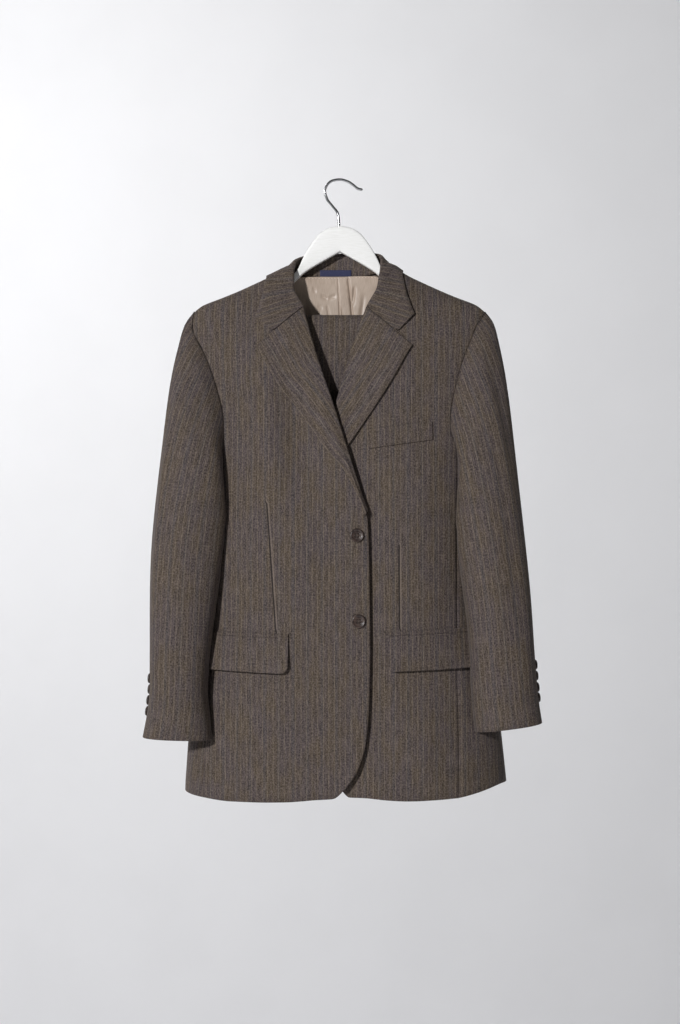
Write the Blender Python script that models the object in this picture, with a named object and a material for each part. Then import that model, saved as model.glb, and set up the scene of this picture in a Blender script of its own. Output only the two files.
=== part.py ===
# Two-piece suit on a painted wooden hanger: an open notch-lapel jacket, with the trousers
# folded over the hanger's bar inside it. The origin is the top of the hook's inner side.
# +Z is up, the suit's front faces -Y, and the wearer's right side is at -X.
# Every length is in millimetres until wall() and the other mesh makers scale it.

import math
from collections import namedtuple

import bpy
import numpy as np

MM = 0.001
SEAM_GAP = 0.3

FRONT_CLOTH = 2.2
SIDE_CLOTH = 1.8
BACK_CLOTH = 1.6
SLEEVE_CLOTH = 1.8
LAPEL_CLOTH = 2.0
COLLAR_CLOTH = 2.0
STAND_CLOTH = 2.0
FLAP_CLOTH = 2.5
JET_CLOTH = 1.5
WELT_CLOTH = 1.8
LINING_CLOTH = 1.0
TROUSER_CLOTH = 1.5

RIGHT = -1  # the wearer's right, on the viewer's left
LEFT = 1

# The jacket's body as horizontal rings, each a rounded oblong whose sides lie at side_y.
BodyRing = namedtuple("BodyRing", "height centre half_width front_y side_y back_y")
BODY_RINGS = (
    BodyRing(-905, 9, 241, -92, 0, 18),
    BodyRing(-800, 7, 231, -92, 0, 18),
    BodyRing(-700, 4, 214, -91, 0, 18),
    BodyRing(-600, 1, 205, -88, 0, 18),
    BodyRing(-530, 0, 204, -84, -3, 18),
    BodyRing(-456, 0, 207, -78, -6, 18),
    BodyRing(-375, 0, 211, -71, -10, 18),
    BodyRing(-300, 0, 216, -64, -15, 18),
    BodyRing(-260, 0, 219, -60, -18, 18),
    BodyRing(-225, 0, 221, -54, -21, 18),
    BodyRing(-200, 0, 217, -47, -21, 17),
    BodyRing(-170, 0, 156, -36, -15, 16),
    BodyRing(-146, 0, 106, -24, -9, 15.5),
    BodyRing(-133, 0, 80, -18, -6, 15),
    BodyRing(-124, 0, 62, -14, -4, 14),
)
FRONT_ROUNDNESS = 2.4
BACK_ROUNDNESS = 3.0

# Armhole edges, from the shoulder point down to the seam of the side panel.
ArmholePoint = namedtuple("ArmholePoint", "height right left")
FRONT_ARMHOLE = (
    ArmholePoint(-199.4, 216, 215),
    ArmholePoint(-213, 219, 207),
    ArmholePoint(-229, 218, 199),
    ArmholePoint(-251, 206, 191),
    ArmholePoint(-266, 199, 184),
    ArmholePoint(-291, 189, 176),
    ArmholePoint(-320, 180, 169),
    ArmholePoint(-354, 172, 163),
    ArmholePoint(-376, 171, 163),
    ArmholePoint(-402, 173, 173),
)
BACK_ARMHOLE = (
    ArmholePoint(-199.4, 216, 215),
    ArmholePoint(-220, 214, 214),
    ArmholePoint(-245, 205, 205),
    ArmholePoint(-280, 194, 194),
    ArmholePoint(-320, 187, 187),
    ArmholePoint(-360, 185, 185),
    ArmholePoint(-408, 188, 188),
)
UNDER_ARMHOLE = (
    ArmholePoint(-402, 173, 173),
    ArmholePoint(-425, 181, 181),
    ArmholePoint(-443, 193, 193),
    ArmholePoint(-456, 207, 207),
    ArmholePoint(-443, 200, 200),
    ArmholePoint(-425, 191, 191),
    ArmholePoint(-408, 188, 188),
)

# Long seams of the side panels, as distances from the ring's centre.
SideSeam = namedtuple("SideSeam", "height front_right front_left back")
SIDE_SEAMS = (
    SideSeam(-919, 212, 164, 206),
    SideSeam(-745, 198, 166, 186),
    SideSeam(-600, 183, 170, 174),
    SideSeam(-402, 173, 173, 188),
)

# Hem heights across the front, from the wearer's right side to the left.
HemPoint = namedtuple("HemPoint", "across height")
FRONT_HEM = (
    HemPoint(-232, -911),
    HemPoint(-200, -916),
    HemPoint(-150, -919),
    HemPoint(-60, -917),
    HemPoint(-14, -912),
    HemPoint(22, -912),
    HemPoint(100, -916.5),
    HemPoint(170, -914),
    HemPoint(210, -909),
    HemPoint(250, -897),
)
BACK_HEM = -905

# Front edges and roll lines. The wearer's right front lies unfastened over the left one.
EdgePoint = namedtuple("EdgePoint", "height right left")
FRONT_EDGE = (
    EdgePoint(-899, 7, 0),
    EdgePoint(-870, 26, -19),
    EdgePoint(-827, 37.6, -30),
    EdgePoint(-769, 42, -35),
    EdgePoint(-697, 43.4, -38),
    EdgePoint(-600, 42.5, -41),
    EdgePoint(-523, 40.5, -43),
    EdgePoint(-501, 39, -44),
    EdgePoint(-475, 31, -37),
    EdgePoint(-401, 7, -19),
    EdgePoint(-332, -15, -2),
    EdgePoint(-273, -35, 14.7),
    EdgePoint(-236, -46, 26.5),
    EdgePoint(-197, -56, 41),
    EdgePoint(-165, -73, 58),
    EdgePoint(-145, -80, 68),
    EdgePoint(-136, -84, 74),
)
BREAK_HEIGHT = -501
GORGE_HEIGHT = -197
NECK_POINT = {RIGHT: (-84, -136), LEFT: (74, -131)}

# Lapels: outer edges, given as distances from the roll line at the same share of its length.
LapelPoint = namedtuple("LapelPoint", "across height")
LAPEL_EDGE = {
    RIGHT: (
        LapelPoint(37, -500),
        LapelPoint(31, -484),
        LapelPoint(20, -461),
        LapelPoint(4, -433),
        LapelPoint(-19, -406),
        LapelPoint(-43, -372),
        LapelPoint(-73, -331),
        LapelPoint(-87, -315),
        LapelPoint(-101, -291),
        LapelPoint(-115, -266),
        LapelPoint(-121, -252),
    ),
    LEFT: (
        LapelPoint(-43, -500),
        LapelPoint(-38, -484),
        LapelPoint(-27, -458),
        LapelPoint(-8, -425),
        LapelPoint(13, -397),
        LapelPoint(31, -371),
        LapelPoint(48, -346),
        LapelPoint(66, -318),
        LapelPoint(80, -295),
        LapelPoint(94, -270),
        LapelPoint(105, -252),
    ),
}
LAPEL_LIFT = 3.5

# Collar: the fold goes from gorge to gorge round the neck, and the fall's edge lies outside.
CollarPoint = namedtuple("CollarPoint", "x y z")
COLLAR_FOLD = (
    CollarPoint(-56.6, -46, -195.4),
    CollarPoint(-61, -41, -183),
    CollarPoint(-66, -35, -168),
    CollarPoint(-68.5, -28, -152),
    CollarPoint(-69.5, -18, -134),
    CollarPoint(-70, -7, -120),
    CollarPoint(-67, 4, -114),
    CollarPoint(-56, 11.5, -110.5),
    CollarPoint(-32, 14, -107.5),
    CollarPoint(-5, 14.5, -107),
    CollarPoint(22, 14, -106.5),
    CollarPoint(44, 12, -106.5),
    CollarPoint(58, 5, -109),
    CollarPoint(62, -7, -116),
    CollarPoint(60, -18, -131),
    CollarPoint(57, -28, -150),
    CollarPoint(53, -35, -168),
    CollarPoint(47, -41, -183),
    CollarPoint(41.6, -46, -195.4),
)
COLLAR_LEAF = (
    CollarPoint(-124, -45, -209),
    CollarPoint(-120, -40, -195),
    CollarPoint(-115, -34, -179),
    CollarPoint(-111, -26, -164),
    CollarPoint(-108, -16, -152),
    CollarPoint(-104, -2, -148),
    CollarPoint(-88, 12, -151),
    CollarPoint(-50, 17, -154),
    CollarPoint(-7, 18, -155),
    CollarPoint(36, 17, -153),
    CollarPoint(72, 12, -148),
    CollarPoint(88, -2, -143),
    CollarPoint(92, -16, -146),
    CollarPoint(95, -26, -159),
    CollarPoint(98, -34, -176),
    CollarPoint(103, -40, -191),
    CollarPoint(109, -45, -206),
)
NeckPoint = namedtuple("NeckPoint", "across height front")
NECK_SEAM = (
    NeckPoint(-56, -197, True),
    NeckPoint(-64.5, -182, True),
    NeckPoint(-72, -167, True),
    NeckPoint(-77, -154, True),
    NeckPoint(-82, -141, True),
    NeckPoint(-80, -138.5, False),
    NeckPoint(-66, -141, False),
    NeckPoint(-40, -143, False),
    NeckPoint(-5, -144, False),
    NeckPoint(30, -143, False),
    NeckPoint(56, -138, False),
    NeckPoint(70, -132.5, False),
    NeckPoint(72, -137, True),
    NeckPoint(68, -148, True),
    NeckPoint(61, -161, True),
    NeckPoint(51, -179, True),
    NeckPoint(41, -197, True),
)
BACK_NECK_EDGE = ((-84, -136), (-68, -140), (-40, -143), (-5, -144), (30, -143), (58, -139), (74, -131))
# Where each gorge seam ends, and how far up the collar its corner is felt.
NOTCH = {RIGHT: (-98.3, -230.6), LEFT: (84.3, -231.3)}
NOTCH_COLUMN = 3
NOTCH_REACH = 0.2
STAND_LIFT = 1.7
# How far past the neck point the shoulder seam closes, under the collar.
SHOULDER_START = 14
FALL_EASE = 1.6

# Sleeves: level rings below the armpit, wide from inner to outer.
SleeveRing = namedtuple("SleeveRing", "height inner outer centre_y depth tilt")
SLEEVE_RINGS = {
    RIGHT: (
        SleeveRing(-520, 168, 277, -54, 82, 0.0),
        SleeveRing(-570, 173, 279, -56, 84, 0.0),
        SleeveRing(-630, 180, 280, -57, 86, 0.0),
        SleeveRing(-690, 190, 279, -58, 86, 0.0),
        SleeveRing(-755, 194, 279, -60, 84, 0.01),
        SleeveRing(-795, 190, 283, -61, 80, 0.02),
        SleeveRing(-827, 187, 289, -62, 76, 0.03),
    ),
    LEFT: (
        SleeveRing(-520, 169, 270, -54, 82, 0.0),
        SleeveRing(-570, 174, 275, -56, 84, 0.0),
        SleeveRing(-630, 182, 281, -57, 86, 0.02),
        SleeveRing(-690, 190, 284, -58, 86, 0.04),
        SleeveRing(-755, 191, 289, -60, 84, 0.08),
        SleeveRing(-785, 194, 292, -61, 80, 0.10),
        SleeveRing(-811, 197, 296, -62, 76, 0.13),
    ),
}
# Columns round a sleeve: share of the armhole's length, and the ring angle it runs down to.
# The angle turns from the outer side (0) by the front (90) and the inner side (180).
SleeveTurn = namedtuple("SleeveTurn", "armhole angle")
SLEEVE_TURNS = (
    SleeveTurn(0.0, 0),
    SleeveTurn(0.12, 45),
    SleeveTurn(0.25, 90),
    SleeveTurn(0.33, 122),
    SleeveTurn(0.375, 150),
    SleeveTurn(0.417, 182),
    SleeveTurn(0.458, 213),
    SleeveTurn(0.5, 236),
    SleeveTurn(0.542, 250),
    SleeveTurn(0.6, 263),
    SleeveTurn(0.7, 280),
    SleeveTurn(0.8, 300),
    SleeveTurn(0.9, 328),
    SleeveTurn(1.0, 360),
)
ARMHOLE_GAP = 0.7
SLEEVE_SEAM = 0.8
SLEEVE_COLUMNS = 24
FOREARM_SEAM_COLUMN = 11
ELBOW_SEAM_COLUMN = 21

LAID_LIFT = 0.15
JET_LIFT = 0.3

# Folds in the fronts: soft valleys (depth above 0) and ridges (below 0), as straight runs.
Fold = namedtuple("Fold", "x0 z0 x1 z1 width depth")
FRONT_FOLDS = (
    Fold(-72, -300, -62, -480, 14, 2.5),
    Fold(-112, -300, -104, -520, 16, -1.5),
    Fold(-160, -270, -150, -400, 14, 2.0),
    Fold(78, -290, 84, -420, 13, 2.0),
)

BUTTON_RADIUS = 10
BUTTON_THICKNESS = 3.6
BUTTON_HOLE_RADIUS = 1.1
BUTTON_HOLE_REACH = 2.4
FRONT_BUTTONS = (("front_button_top", 24.6, -531), ("front_button_low", 27, -655))
CUFF_BUTTON_RADIUS = 7.3
CUFF_BUTTON_THICKNESS = 3.2
CUFF_BUTTON_HEIGHTS = {RIGHT: (-742, -758, -774, -790), LEFT: (-722, -738, -755, -770)}

# Hanger board: half outline from the middle to the end.
BoardStation = namedtuple("BoardStation", "across top bottom")
BOARD_STATIONS = (
    BoardStation(0, -68, -107),
    BoardStation(15, -70.5, -115.5),
    BoardStation(30, -79, -124),
    BoardStation(45, -98, -133),
    BoardStation(55, -115, -140),
    BoardStation(64, -134, -149),
    BoardStation(80, -147, -161),
)
# Beyond the collar the arms follow the shoulders just under the cloth.
ARM_STATIONS = ((98, 19), (112, 23), (135, 27), (160, 31), (182, 36), (197, 34), (205, 22), (209, 8))
ARM_DROP = 6.0
BOARD_THICKNESS = 13
BAR_RADIUS = 6
BAR_HALF_LENGTH = 186
BAR_CENTRE = (-20, -217)
HOOK_WIRE_RADIUS = 2
HOOK_PATH = (
    (-1.5, -84),
    (-1.5, -68),
    (-3, -50),
    (-10.5, -39),
    (-19.5, -27),
    (-22.8, -15),
    (-19, -5.5),
    (-11, 0.4),
    (0, 2),
    (11.5, -1),
    (20, -6.3),
    (27, -11.8),
    (34, -13.3),
)

LINING_END = -292

LEG_HEM_HEIGHT = -700
CROTCH_HEIGHT = -520
HIP_END_HEIGHT = -735
WAIST_END_HEIGHT = -771

MATERIALS = {
    "suit_cloth": ((0.085, 0.064, 0.052), 0.92, 0.0),
    "lining": ((0.35, 0.26, 0.19), 0.45, 0.0),
    "label": ((0.012, 0.02, 0.075), 0.75, 0.0),
    "buttons": ((0.06, 0.035, 0.025), 0.35, 0.0),
    "painted_wood": ((0.86, 0.86, 0.84), 0.35, 0.0),
    "steel": ((0.62, 0.62, 0.62), 0.22, 1.0),
}


# ---- small maths ----


def smooth_step(low, high, value):
    share = min(max((value - low) / (high - low), 0.0), 1.0)
    return share * share * (3 - 2 * share)


def unit(vector):
    vector = np.asarray(vector, float)
    return vector / max(np.linalg.norm(vector), 1e-9)


def slopes_of(places, values):
    # Slopes of a curve that never overshoots its points.
    steps = np.diff(places)
    rises = np.diff(values) / steps
    slopes = np.empty(len(values))
    slopes[0], slopes[-1] = rises[0], rises[-1]
    for i in range(1, len(values) - 1):
        if rises[i - 1] * rises[i] <= 0:
            slopes[i] = 0
            continue
        before = 2 * steps[i] + steps[i - 1]
        after = steps[i] + 2 * steps[i - 1]
        slopes[i] = (before + after) / (before / rises[i - 1] + after / rises[i])
    return slopes


class Curve:
    # A smooth value read from rows of (place, value).
    def __init__(self, places, values):
        order = np.argsort(places)
        self.places = np.asarray(places, float)[order]
        self.values = np.asarray(values, float)[order]
        self.slopes = slopes_of(self.places, self.values)

    def __call__(self, place):
        place = min(max(place, self.places[0]), self.places[-1])
        i = min(max(int(np.searchsorted(self.places, place)) - 1, 0), len(self.places) - 2)
        step = self.places[i + 1] - self.places[i]
        t = (place - self.places[i]) / step
        low, high = self.values[i], self.values[i + 1]
        return (
            low * (1 + 2 * t) * (1 - t) ** 2
            + high * t * t * (3 - 2 * t)
            + self.slopes[i] * step * t * (1 - t) ** 2
            - self.slopes[i + 1] * step * t * t * (1 - t)
        )


def columns(rows, key):
    return {name: Curve([getattr(r, key) for r in rows], [getattr(r, name) for r in rows])
            for name in rows[0]._fields if name != key}


def along(points, share):
    # The point at a share of a smooth line through points, measured by its length.
    points = np.asarray(points, float)
    lengths = np.concatenate([[0], np.cumsum(np.linalg.norm(np.diff(points, axis=0), axis=1))])
    lengths /= lengths[-1]
    return np.array([Curve(lengths, points[:, k])(share) for k in range(points.shape[1])])


def line_of(points, count, power=1.0):
    return np.array([along(points, (i / (count - 1)) ** power) for i in range(count)])


# ---- the jacket's body as a form ----

BODY = columns(BODY_RINGS, "height")
SEAMS = columns(SIDE_SEAMS, "height")
EDGES = columns(FRONT_EDGE, "height")
HEM = Curve([p.across for p in FRONT_HEM], [p.height for p in FRONT_HEM])


def body_depth(x, z, front):
    # The y of the body's outer face, seen from the front or the back.
    across = min(abs(x - BODY["centre"](z)) / BODY["half_width"](z), 1.0)
    roundness = FRONT_ROUNDNESS if front else BACK_ROUNDNESS
    reach = (1 - across ** roundness) ** (1 / roundness)
    side_y = BODY["side_y"](z)
    far_y = BODY["front_y"](z) if front else BODY["back_y"](z)
    return side_y + (far_y - side_y) * reach


def body_value(point):
    # Below 0 inside the body's form, 0 on it and above 0 outside.
    x, y, z = point
    front = y < BODY["side_y"](z)
    far_y = BODY["front_y"](z) if front else BODY["back_y"](z)
    roundness = FRONT_ROUNDNESS if front else BACK_ROUNDNESS
    across = abs(x - BODY["centre"](z)) / BODY["half_width"](z)
    deep = abs(y - BODY["side_y"](z)) / abs(far_y - BODY["side_y"](z))
    return (across ** roundness + deep ** roundness) ** (1 / roundness) - 1


def body_slope(point):
    step = 0.5
    point = np.asarray(point, float)
    return np.array([
        (body_value(point + step * axis) - body_value(point - step * axis)) / (2 * step)
        for axis in np.eye(3)
    ])


def body_normal(point):
    return unit(body_slope(point))


def clear_of_body(point, clearance):
    # Moves a point out until it is at least this far from the body's outer face.
    point = np.array(point, float)
    for _ in range(10):
        slope = body_slope(point)
        steep = max(np.linalg.norm(slope), 1e-6)
        distance = body_value(point) / steep
        if distance >= clearance - 0.01:
            break
        point = point + slope / steep * (clearance - distance)
    return point


def ring_across(angle, z):
    # Half the body's width at a turn from its front (0) by the side (pi/2) to the back (pi).
    front = angle < math.pi / 2
    roundness = FRONT_ROUNDNESS if front else BACK_ROUNDNESS
    across = max(math.sin(angle), 0.0) ** (2 / roundness)
    return BODY["half_width"](z) * across


def ring_angle(across, z, front):
    roundness = FRONT_ROUNDNESS if front else BACK_ROUNDNESS
    share = min(across / BODY["half_width"](z), 1.0)
    angle = math.asin(min(share ** (roundness / 2), 1.0))
    return angle if front else math.pi - angle


def fold_depth(x, z):
    total = 0.0
    for fold in FRONT_FOLDS:
        run = np.array([fold.x1 - fold.x0, fold.z1 - fold.z0])
        share = np.dot([x - fold.x0, z - fold.z0], run) / np.dot(run, run)
        near = np.array([fold.x0, fold.z0]) + min(max(share, 0), 1) * run
        off = math.hypot(x - near[0], z - near[1]) / fold.width
        fade = math.sin(math.pi * min(max(share, 0), 1)) ** 0.5
        total += fold.depth * fade * math.exp(-off * off)
    return total


def front_shift(x, z, side):
    # How far a front stands back (above 0) or forward (below 0) of the body's form.
    if side == RIGHT:
        lift = 4.0 * smooth_step(-60, 30, x) * smooth_step(-150, -260, z)
        return fold_depth(x, z) - lift
    setback = 11.0 * smooth_step(85, 5, x) * smooth_step(-180, -320, z)
    return fold_depth(x, z) + setback


# ---- mesh makers ----


def material(name):
    made = bpy.data.materials.get(name)
    if made is None:
        colour, roughness, metallic = MATERIALS[name]
        made = bpy.data.materials.new(name)
        made.use_nodes = True
        shader = made.node_tree.nodes["Principled BSDF"]
        shader.inputs["Base Color"].default_value = (*colour, 1)
        shader.inputs["Roughness"].default_value = roughness
        shader.inputs["Metallic"].default_value = metallic
        made.diffuse_color = (*colour, 1)
    return made


def volume_of(points, faces):
    total = 0.0
    for face in faces:
        corner = points[face[0]]
        for a, b in zip(face[1:-1], face[2:]):
            total += np.dot(corner, np.cross(points[a], points[b]))
    return total / 6


def make_object(name, points, faces, finish):
    points = np.asarray(points, float)
    if volume_of(points, faces) < 0:
        faces = [tuple(reversed(face)) for face in faces]
    mesh = bpy.data.meshes.new(name)
    mesh.from_pydata((points * MM).tolist(), [], faces)
    mesh.materials.append(material(finish))
    mesh.shade_smooth()
    mesh.set_sharp_from_angle(angle=math.radians(40))
    made = bpy.data.objects.new(name, mesh)
    bpy.context.scene.collection.objects.link(made)
    return made


def wall(name, outer, inner, finish):
    # A closed thin wall from two grids of points, rimmed all round.
    rows, cols = outer.shape[:2]
    points = np.concatenate([outer.reshape(-1, 3), inner.reshape(-1, 3)])
    back = rows * cols

    def at(r, c):
        return r * cols + c

    faces = []
    for r in range(rows - 1):
        for c in range(cols - 1):
            quad = (at(r, c), at(r, c + 1), at(r + 1, c + 1), at(r + 1, c))
            faces.append(quad)
            faces.append(tuple(back + i for i in reversed(quad)))
    rim = [at(0, c) for c in range(cols)]
    rim += [at(r, cols - 1) for r in range(1, rows)]
    rim += [at(rows - 1, c) for c in range(cols - 2, -1, -1)]
    rim += [at(r, 0) for r in range(rows - 2, 0, -1)]
    for a, b in zip(rim, rim[1:] + rim[:1]):
        faces.append((b, a, back + a, back + b))
    return make_object(name, points, faces, finish)


def tube(name, outer, inner, finish):
    # A closed wall from rings of points, open at both ends.
    rows, cols = outer.shape[:2]
    points = np.concatenate([outer.reshape(-1, 3), inner.reshape(-1, 3)])
    back = rows * cols
    faces = []
    for r in range(rows - 1):
        for c in range(cols):
            d = (c + 1) % cols
            quad = (r * cols + c, r * cols + d, (r + 1) * cols + d, (r + 1) * cols + c)
            faces.append(quad)
            faces.append(tuple(back + i for i in reversed(quad)))
    for r in (0, rows - 1):
        for c in range(cols):
            a, b = r * cols + c, r * cols + (c + 1) % cols
            rim = (b, a, back + a, back + b)
            faces.append(rim if r == 0 else tuple(reversed(rim)))
    return make_object(name, points, faces, finish)


def loft(name, rings, finish):
    # A solid from closed rings, with flat ends.
    count = rings.shape[1]
    points = rings.reshape(-1, 3)
    faces = []
    for r in range(len(rings) - 1):
        for c in range(count):
            d = (c + 1) % count
            faces.append((r * count + c, r * count + d, (r + 1) * count + d, (r + 1) * count + c))
    faces.append(tuple(reversed(range(count))))
    last = (len(rings) - 1) * count
    faces.append(tuple(last + c for c in range(count)))
    return make_object(name, points, faces, finish)


def grid_normals(grid, closed_columns=False):
    # Outward directions of a grid of points, from the steps to its neighbours.
    down = np.gradient(grid, axis=0)
    if closed_columns:
        across = np.roll(grid, -1, axis=1) - np.roll(grid, 1, axis=1)
    else:
        across = np.gradient(grid, axis=1)
    normals = np.cross(across, down)
    return normals / np.maximum(np.linalg.norm(normals, axis=2, keepdims=True), 1e-9)


# ---- jacket panels ----


def patch(bottom, top, inner, outer):
    # Fills four meeting border lines, each a list of points, with a grid.
    cols, rows = len(bottom), len(inner)
    grid = np.zeros((rows, cols, bottom.shape[1]))
    for r in range(rows):
        t = r / (rows - 1)
        for c in range(cols):
            s = c / (cols - 1)
            edges = (1 - t) * bottom[c] + t * top[c] + (1 - s) * inner[r] + s * outer[r]
            corners = (
                (1 - s) * (1 - t) * bottom[0] + s * (1 - t) * bottom[-1]
                + (1 - s) * t * top[0] + s * t * top[-1]
            )
            grid[r, c] = edges - corners
    return grid


SEAM_STAGE = -600
LOW_ROWS, MIDDLE_ROWS, ARMHOLE_ROWS = 7, 5, 10


def seam_heights(hem, top):
    # The rows of a long seam, the same on both of its sides.
    low = [hem + (SEAM_STAGE - hem) * i / LOW_ROWS for i in range(LOW_ROWS)]
    middle = [SEAM_STAGE + (top - SEAM_STAGE) * i / MIDDLE_ROWS for i in range(MIDDLE_ROWS)]
    return low + middle + [top]


def closing_shares(count):
    # Shares of a length that crowd towards its far end, where the shoulder turns over.
    return [1 - (1 - i / count) ** 1.7 for i in range(1, count + 1)]


def edge_rows(points, hem, top):
    # Points of a long edge at the seam's rows, then crowded towards the shoulder.
    place = Curve([p[1] for p in points], [p[0] for p in points])
    rows = [(place(z), z) for z in seam_heights(hem, top)]
    upper = [p for p in points if p[1] > top + 1]
    rest = [(place(top), top)] + upper
    rows += [tuple(along(rest, share)) for share in closing_shares(ARMHOLE_ROWS)]
    return np.array(rows)


def seam_rows(side, which, hem, top, armhole):
    # Points of a side seam and of the armhole above it.
    rows = [(BODY["centre"](z) + side * (SEAMS[which](z) - SEAM_GAP / 2), z) for z in seam_heights(hem, top)]
    rest = [(side * (x - SEAM_GAP / 2), z) for x, z in armhole]
    rows += [tuple(along(rest, share)) for share in closing_shares(ARMHOLE_ROWS)]
    return np.array(rows)


def front_panel(side):
    name = "front_right" if side == RIGHT else "front_left"
    edge = "right" if side == RIGHT else "left"
    top = FRONT_ARMHOLE[-1].height
    inner_line = [(getattr(p, edge), p.height) for p in FRONT_EDGE]
    inner_line[-1] = NECK_POINT[side]
    start = inner_line[0]
    seam = "front_" + edge
    hem_end = BODY["centre"](-905) + side * (SEAMS[seam](-919) - SEAM_GAP / 2)
    armhole = [(getattr(p, edge), p.height) for p in FRONT_ARMHOLE[::-1]]
    inner_rows = edge_rows(inner_line, start[1], top)
    outer_rows = seam_rows(side, seam, HEM(hem_end), top, armhole)
    hem = [start]
    for share in (0.08, 0.2, 0.4, 0.6, 0.8):
        x = start[0] + (hem_end - start[0]) * share
        hem.append((x, HEM(x)))
    hem.append(tuple(outer_rows[0]))
    neck, tip = NECK_POINT[side], tuple(outer_rows[-1])
    crest = [neck] + crest_to(neck, tip)
    grid = patch(line_of(hem, 13), line_of(crest, 13), inner_rows, outer_rows)
    outer = np.zeros((*grid.shape[:2], 3))
    inner = np.zeros_like(outer)
    for r in range(grid.shape[0]):
        for c in range(grid.shape[1]):
            x, z = grid[r, c]
            point, normal = front_face(x, z, side)
            if r == grid.shape[0] - 1:
                point[1] -= SEAM_GAP / 2
            outer[r, c] = point
            inner[r, c] = point - FRONT_CLOTH * normal
    return wall(name, outer, inner, "suit_cloth")


def shoulder_height(across):
    # The height at which the body is this wide.
    low, high = -215.0, -124.0
    for _ in range(40):
        middle = (low + high) / 2
        if BODY["half_width"](middle) > across:
            low = middle
        else:
            high = middle
    return (low + high) / 2


def crest_to(start, tip):
    # The shoulder line from the neck's end of it to the sleeve.
    crest = []
    for share in (0.25, 0.5, 0.75):
        x = start[0] + (tip[0] - start[0]) * share
        crest.append((x, shoulder_height(abs(x))))
    return crest + [tip]


def shoulder_edge(point, normal, side):
    # Brings the back's top edge over the shoulder to the front's, from the collar outwards.
    share = smooth_step(0, SHOULDER_START, side * (point[0] - NECK_POINT[side][0]))
    face, facing = front_face(point[0], point[2], side)
    seam_y = face[1] - FRONT_CLOTH * facing[1] + 3 * SEAM_GAP
    point[1] += (seam_y - point[1]) * share
    level = np.array([normal[0], normal[1] * (1 - share), normal[2]])
    return point, level / np.linalg.norm(level)


def back_panel(side):
    name = "back_right" if side == RIGHT else "back_left"
    edge = "right" if side == RIGHT else "left"
    top = BACK_ARMHOLE[-1].height
    neck_middle = BACK_NECK_EDGE[3]

    def centre(z):
        return neck_middle[0] * smooth_step(-300, -144, z) + BODY["centre"](z) + side * SEAM_GAP / 2

    inner_line = [(centre(z), z) for z in (BACK_HEM, -800, -700, -600, -500, top, -300, -200, -144)]
    armhole = [(getattr(p, edge), p.height) for p in BACK_ARMHOLE[::-1]]
    inner_rows = edge_rows(inner_line, BACK_HEM, top)
    outer_rows = seam_rows(side, "back", BACK_HEM, top, armhole)
    hem = [tuple(inner_rows[0]), tuple((inner_rows[0] + outer_rows[0]) / 2), tuple(outer_rows[0])]
    neck = [p for p in BACK_NECK_EDGE if (p[0] - neck_middle[0]) * side > 1]
    crest = [tuple(inner_rows[-1])] + sorted(neck, key=lambda p: side * p[0])
    crest += crest_to(crest[-1], tuple(outer_rows[-1]))
    grid = patch(line_of(hem, 11), line_of(crest, 11), inner_rows, outer_rows)
    outer = np.zeros((*grid.shape[:2], 3))
    inner = np.zeros_like(outer)
    rows, cols = grid.shape[:2]
    for r in range(rows):
        for c in range(cols):
            x, z = grid[r, c]
            point = np.array([x, body_depth(x, z, False), z])
            normal = body_normal(point)
            if r == rows - 1:
                point, normal = shoulder_edge(point, normal, side)
            outer[r, c] = point
            inner[r, c] = point - BACK_CLOTH * normal
    return wall(name, outer, inner, "suit_cloth")


def side_panel(side):
    name = "side_right" if side == RIGHT else "side_left"
    edge = "right" if side == RIGHT else "left"
    seam = "front_" + edge
    cols = 9
    under = [(p.height, getattr(p, edge), i < 4) for i, p in enumerate(UNDER_ARMHOLE)]
    arc = line_of([(100 * ring_angle(x, z, front), z) for z, x, front in under], cols)
    hem_front = HEM(BODY["centre"](-905) + side * SEAMS[seam](-919))
    hem_side = HEM(BODY["centre"](-905) + side * 238)
    hems = Curve([0, 0.4, 1], [hem_front, hem_side, BACK_HEM])
    columns_of = []
    for c in range(cols):
        share = c / (cols - 1)
        gap = SEAM_GAP / 2 if c in (0, cols - 1) else 0
        column = []
        for z in seam_heights(hems(share), arc[c][1]):
            up = (z - hems(share)) / (arc[c][1] - hems(share))
            low = ring_angle(SEAMS[seam](z) + gap, z, True)
            high = ring_angle(SEAMS["back"](z) + gap, z, False)
            angle = low + (high - low) * share
            if gap == 0:
                angle += (arc[c][0] / 100 - angle) * up ** 4
            front = angle < math.pi / 2
            x = BODY["centre"](z) + side * ring_across(angle, z)
            point = np.array([x, body_depth(x, z, front), z])
            column.append((point, point - SIDE_CLOTH * body_normal(point)))
        columns_of.append(column)
    grid = np.array(columns_of).transpose(2, 1, 0, 3)
    return wall(name, grid[0], grid[1], "suit_cloth")


def armhole_loop(side):
    # The armhole's edge from the shoulder by the front, the armpit and the back.
    edge = "right" if side == RIGHT else "left"
    loop = []
    for p in FRONT_ARMHOLE + UNDER_ARMHOLE[1:4]:
        loop.append((getattr(p, edge), p.height, True))
    for p in UNDER_ARMHOLE[4:6] + BACK_ARMHOLE[::-1]:
        loop.append((getattr(p, edge), p.height, False))
    points = []
    for x, z, front in loop:
        x = BODY["centre"](z) + side * x
        points.append((x, body_depth(x, z, front), z))
    return points


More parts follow.
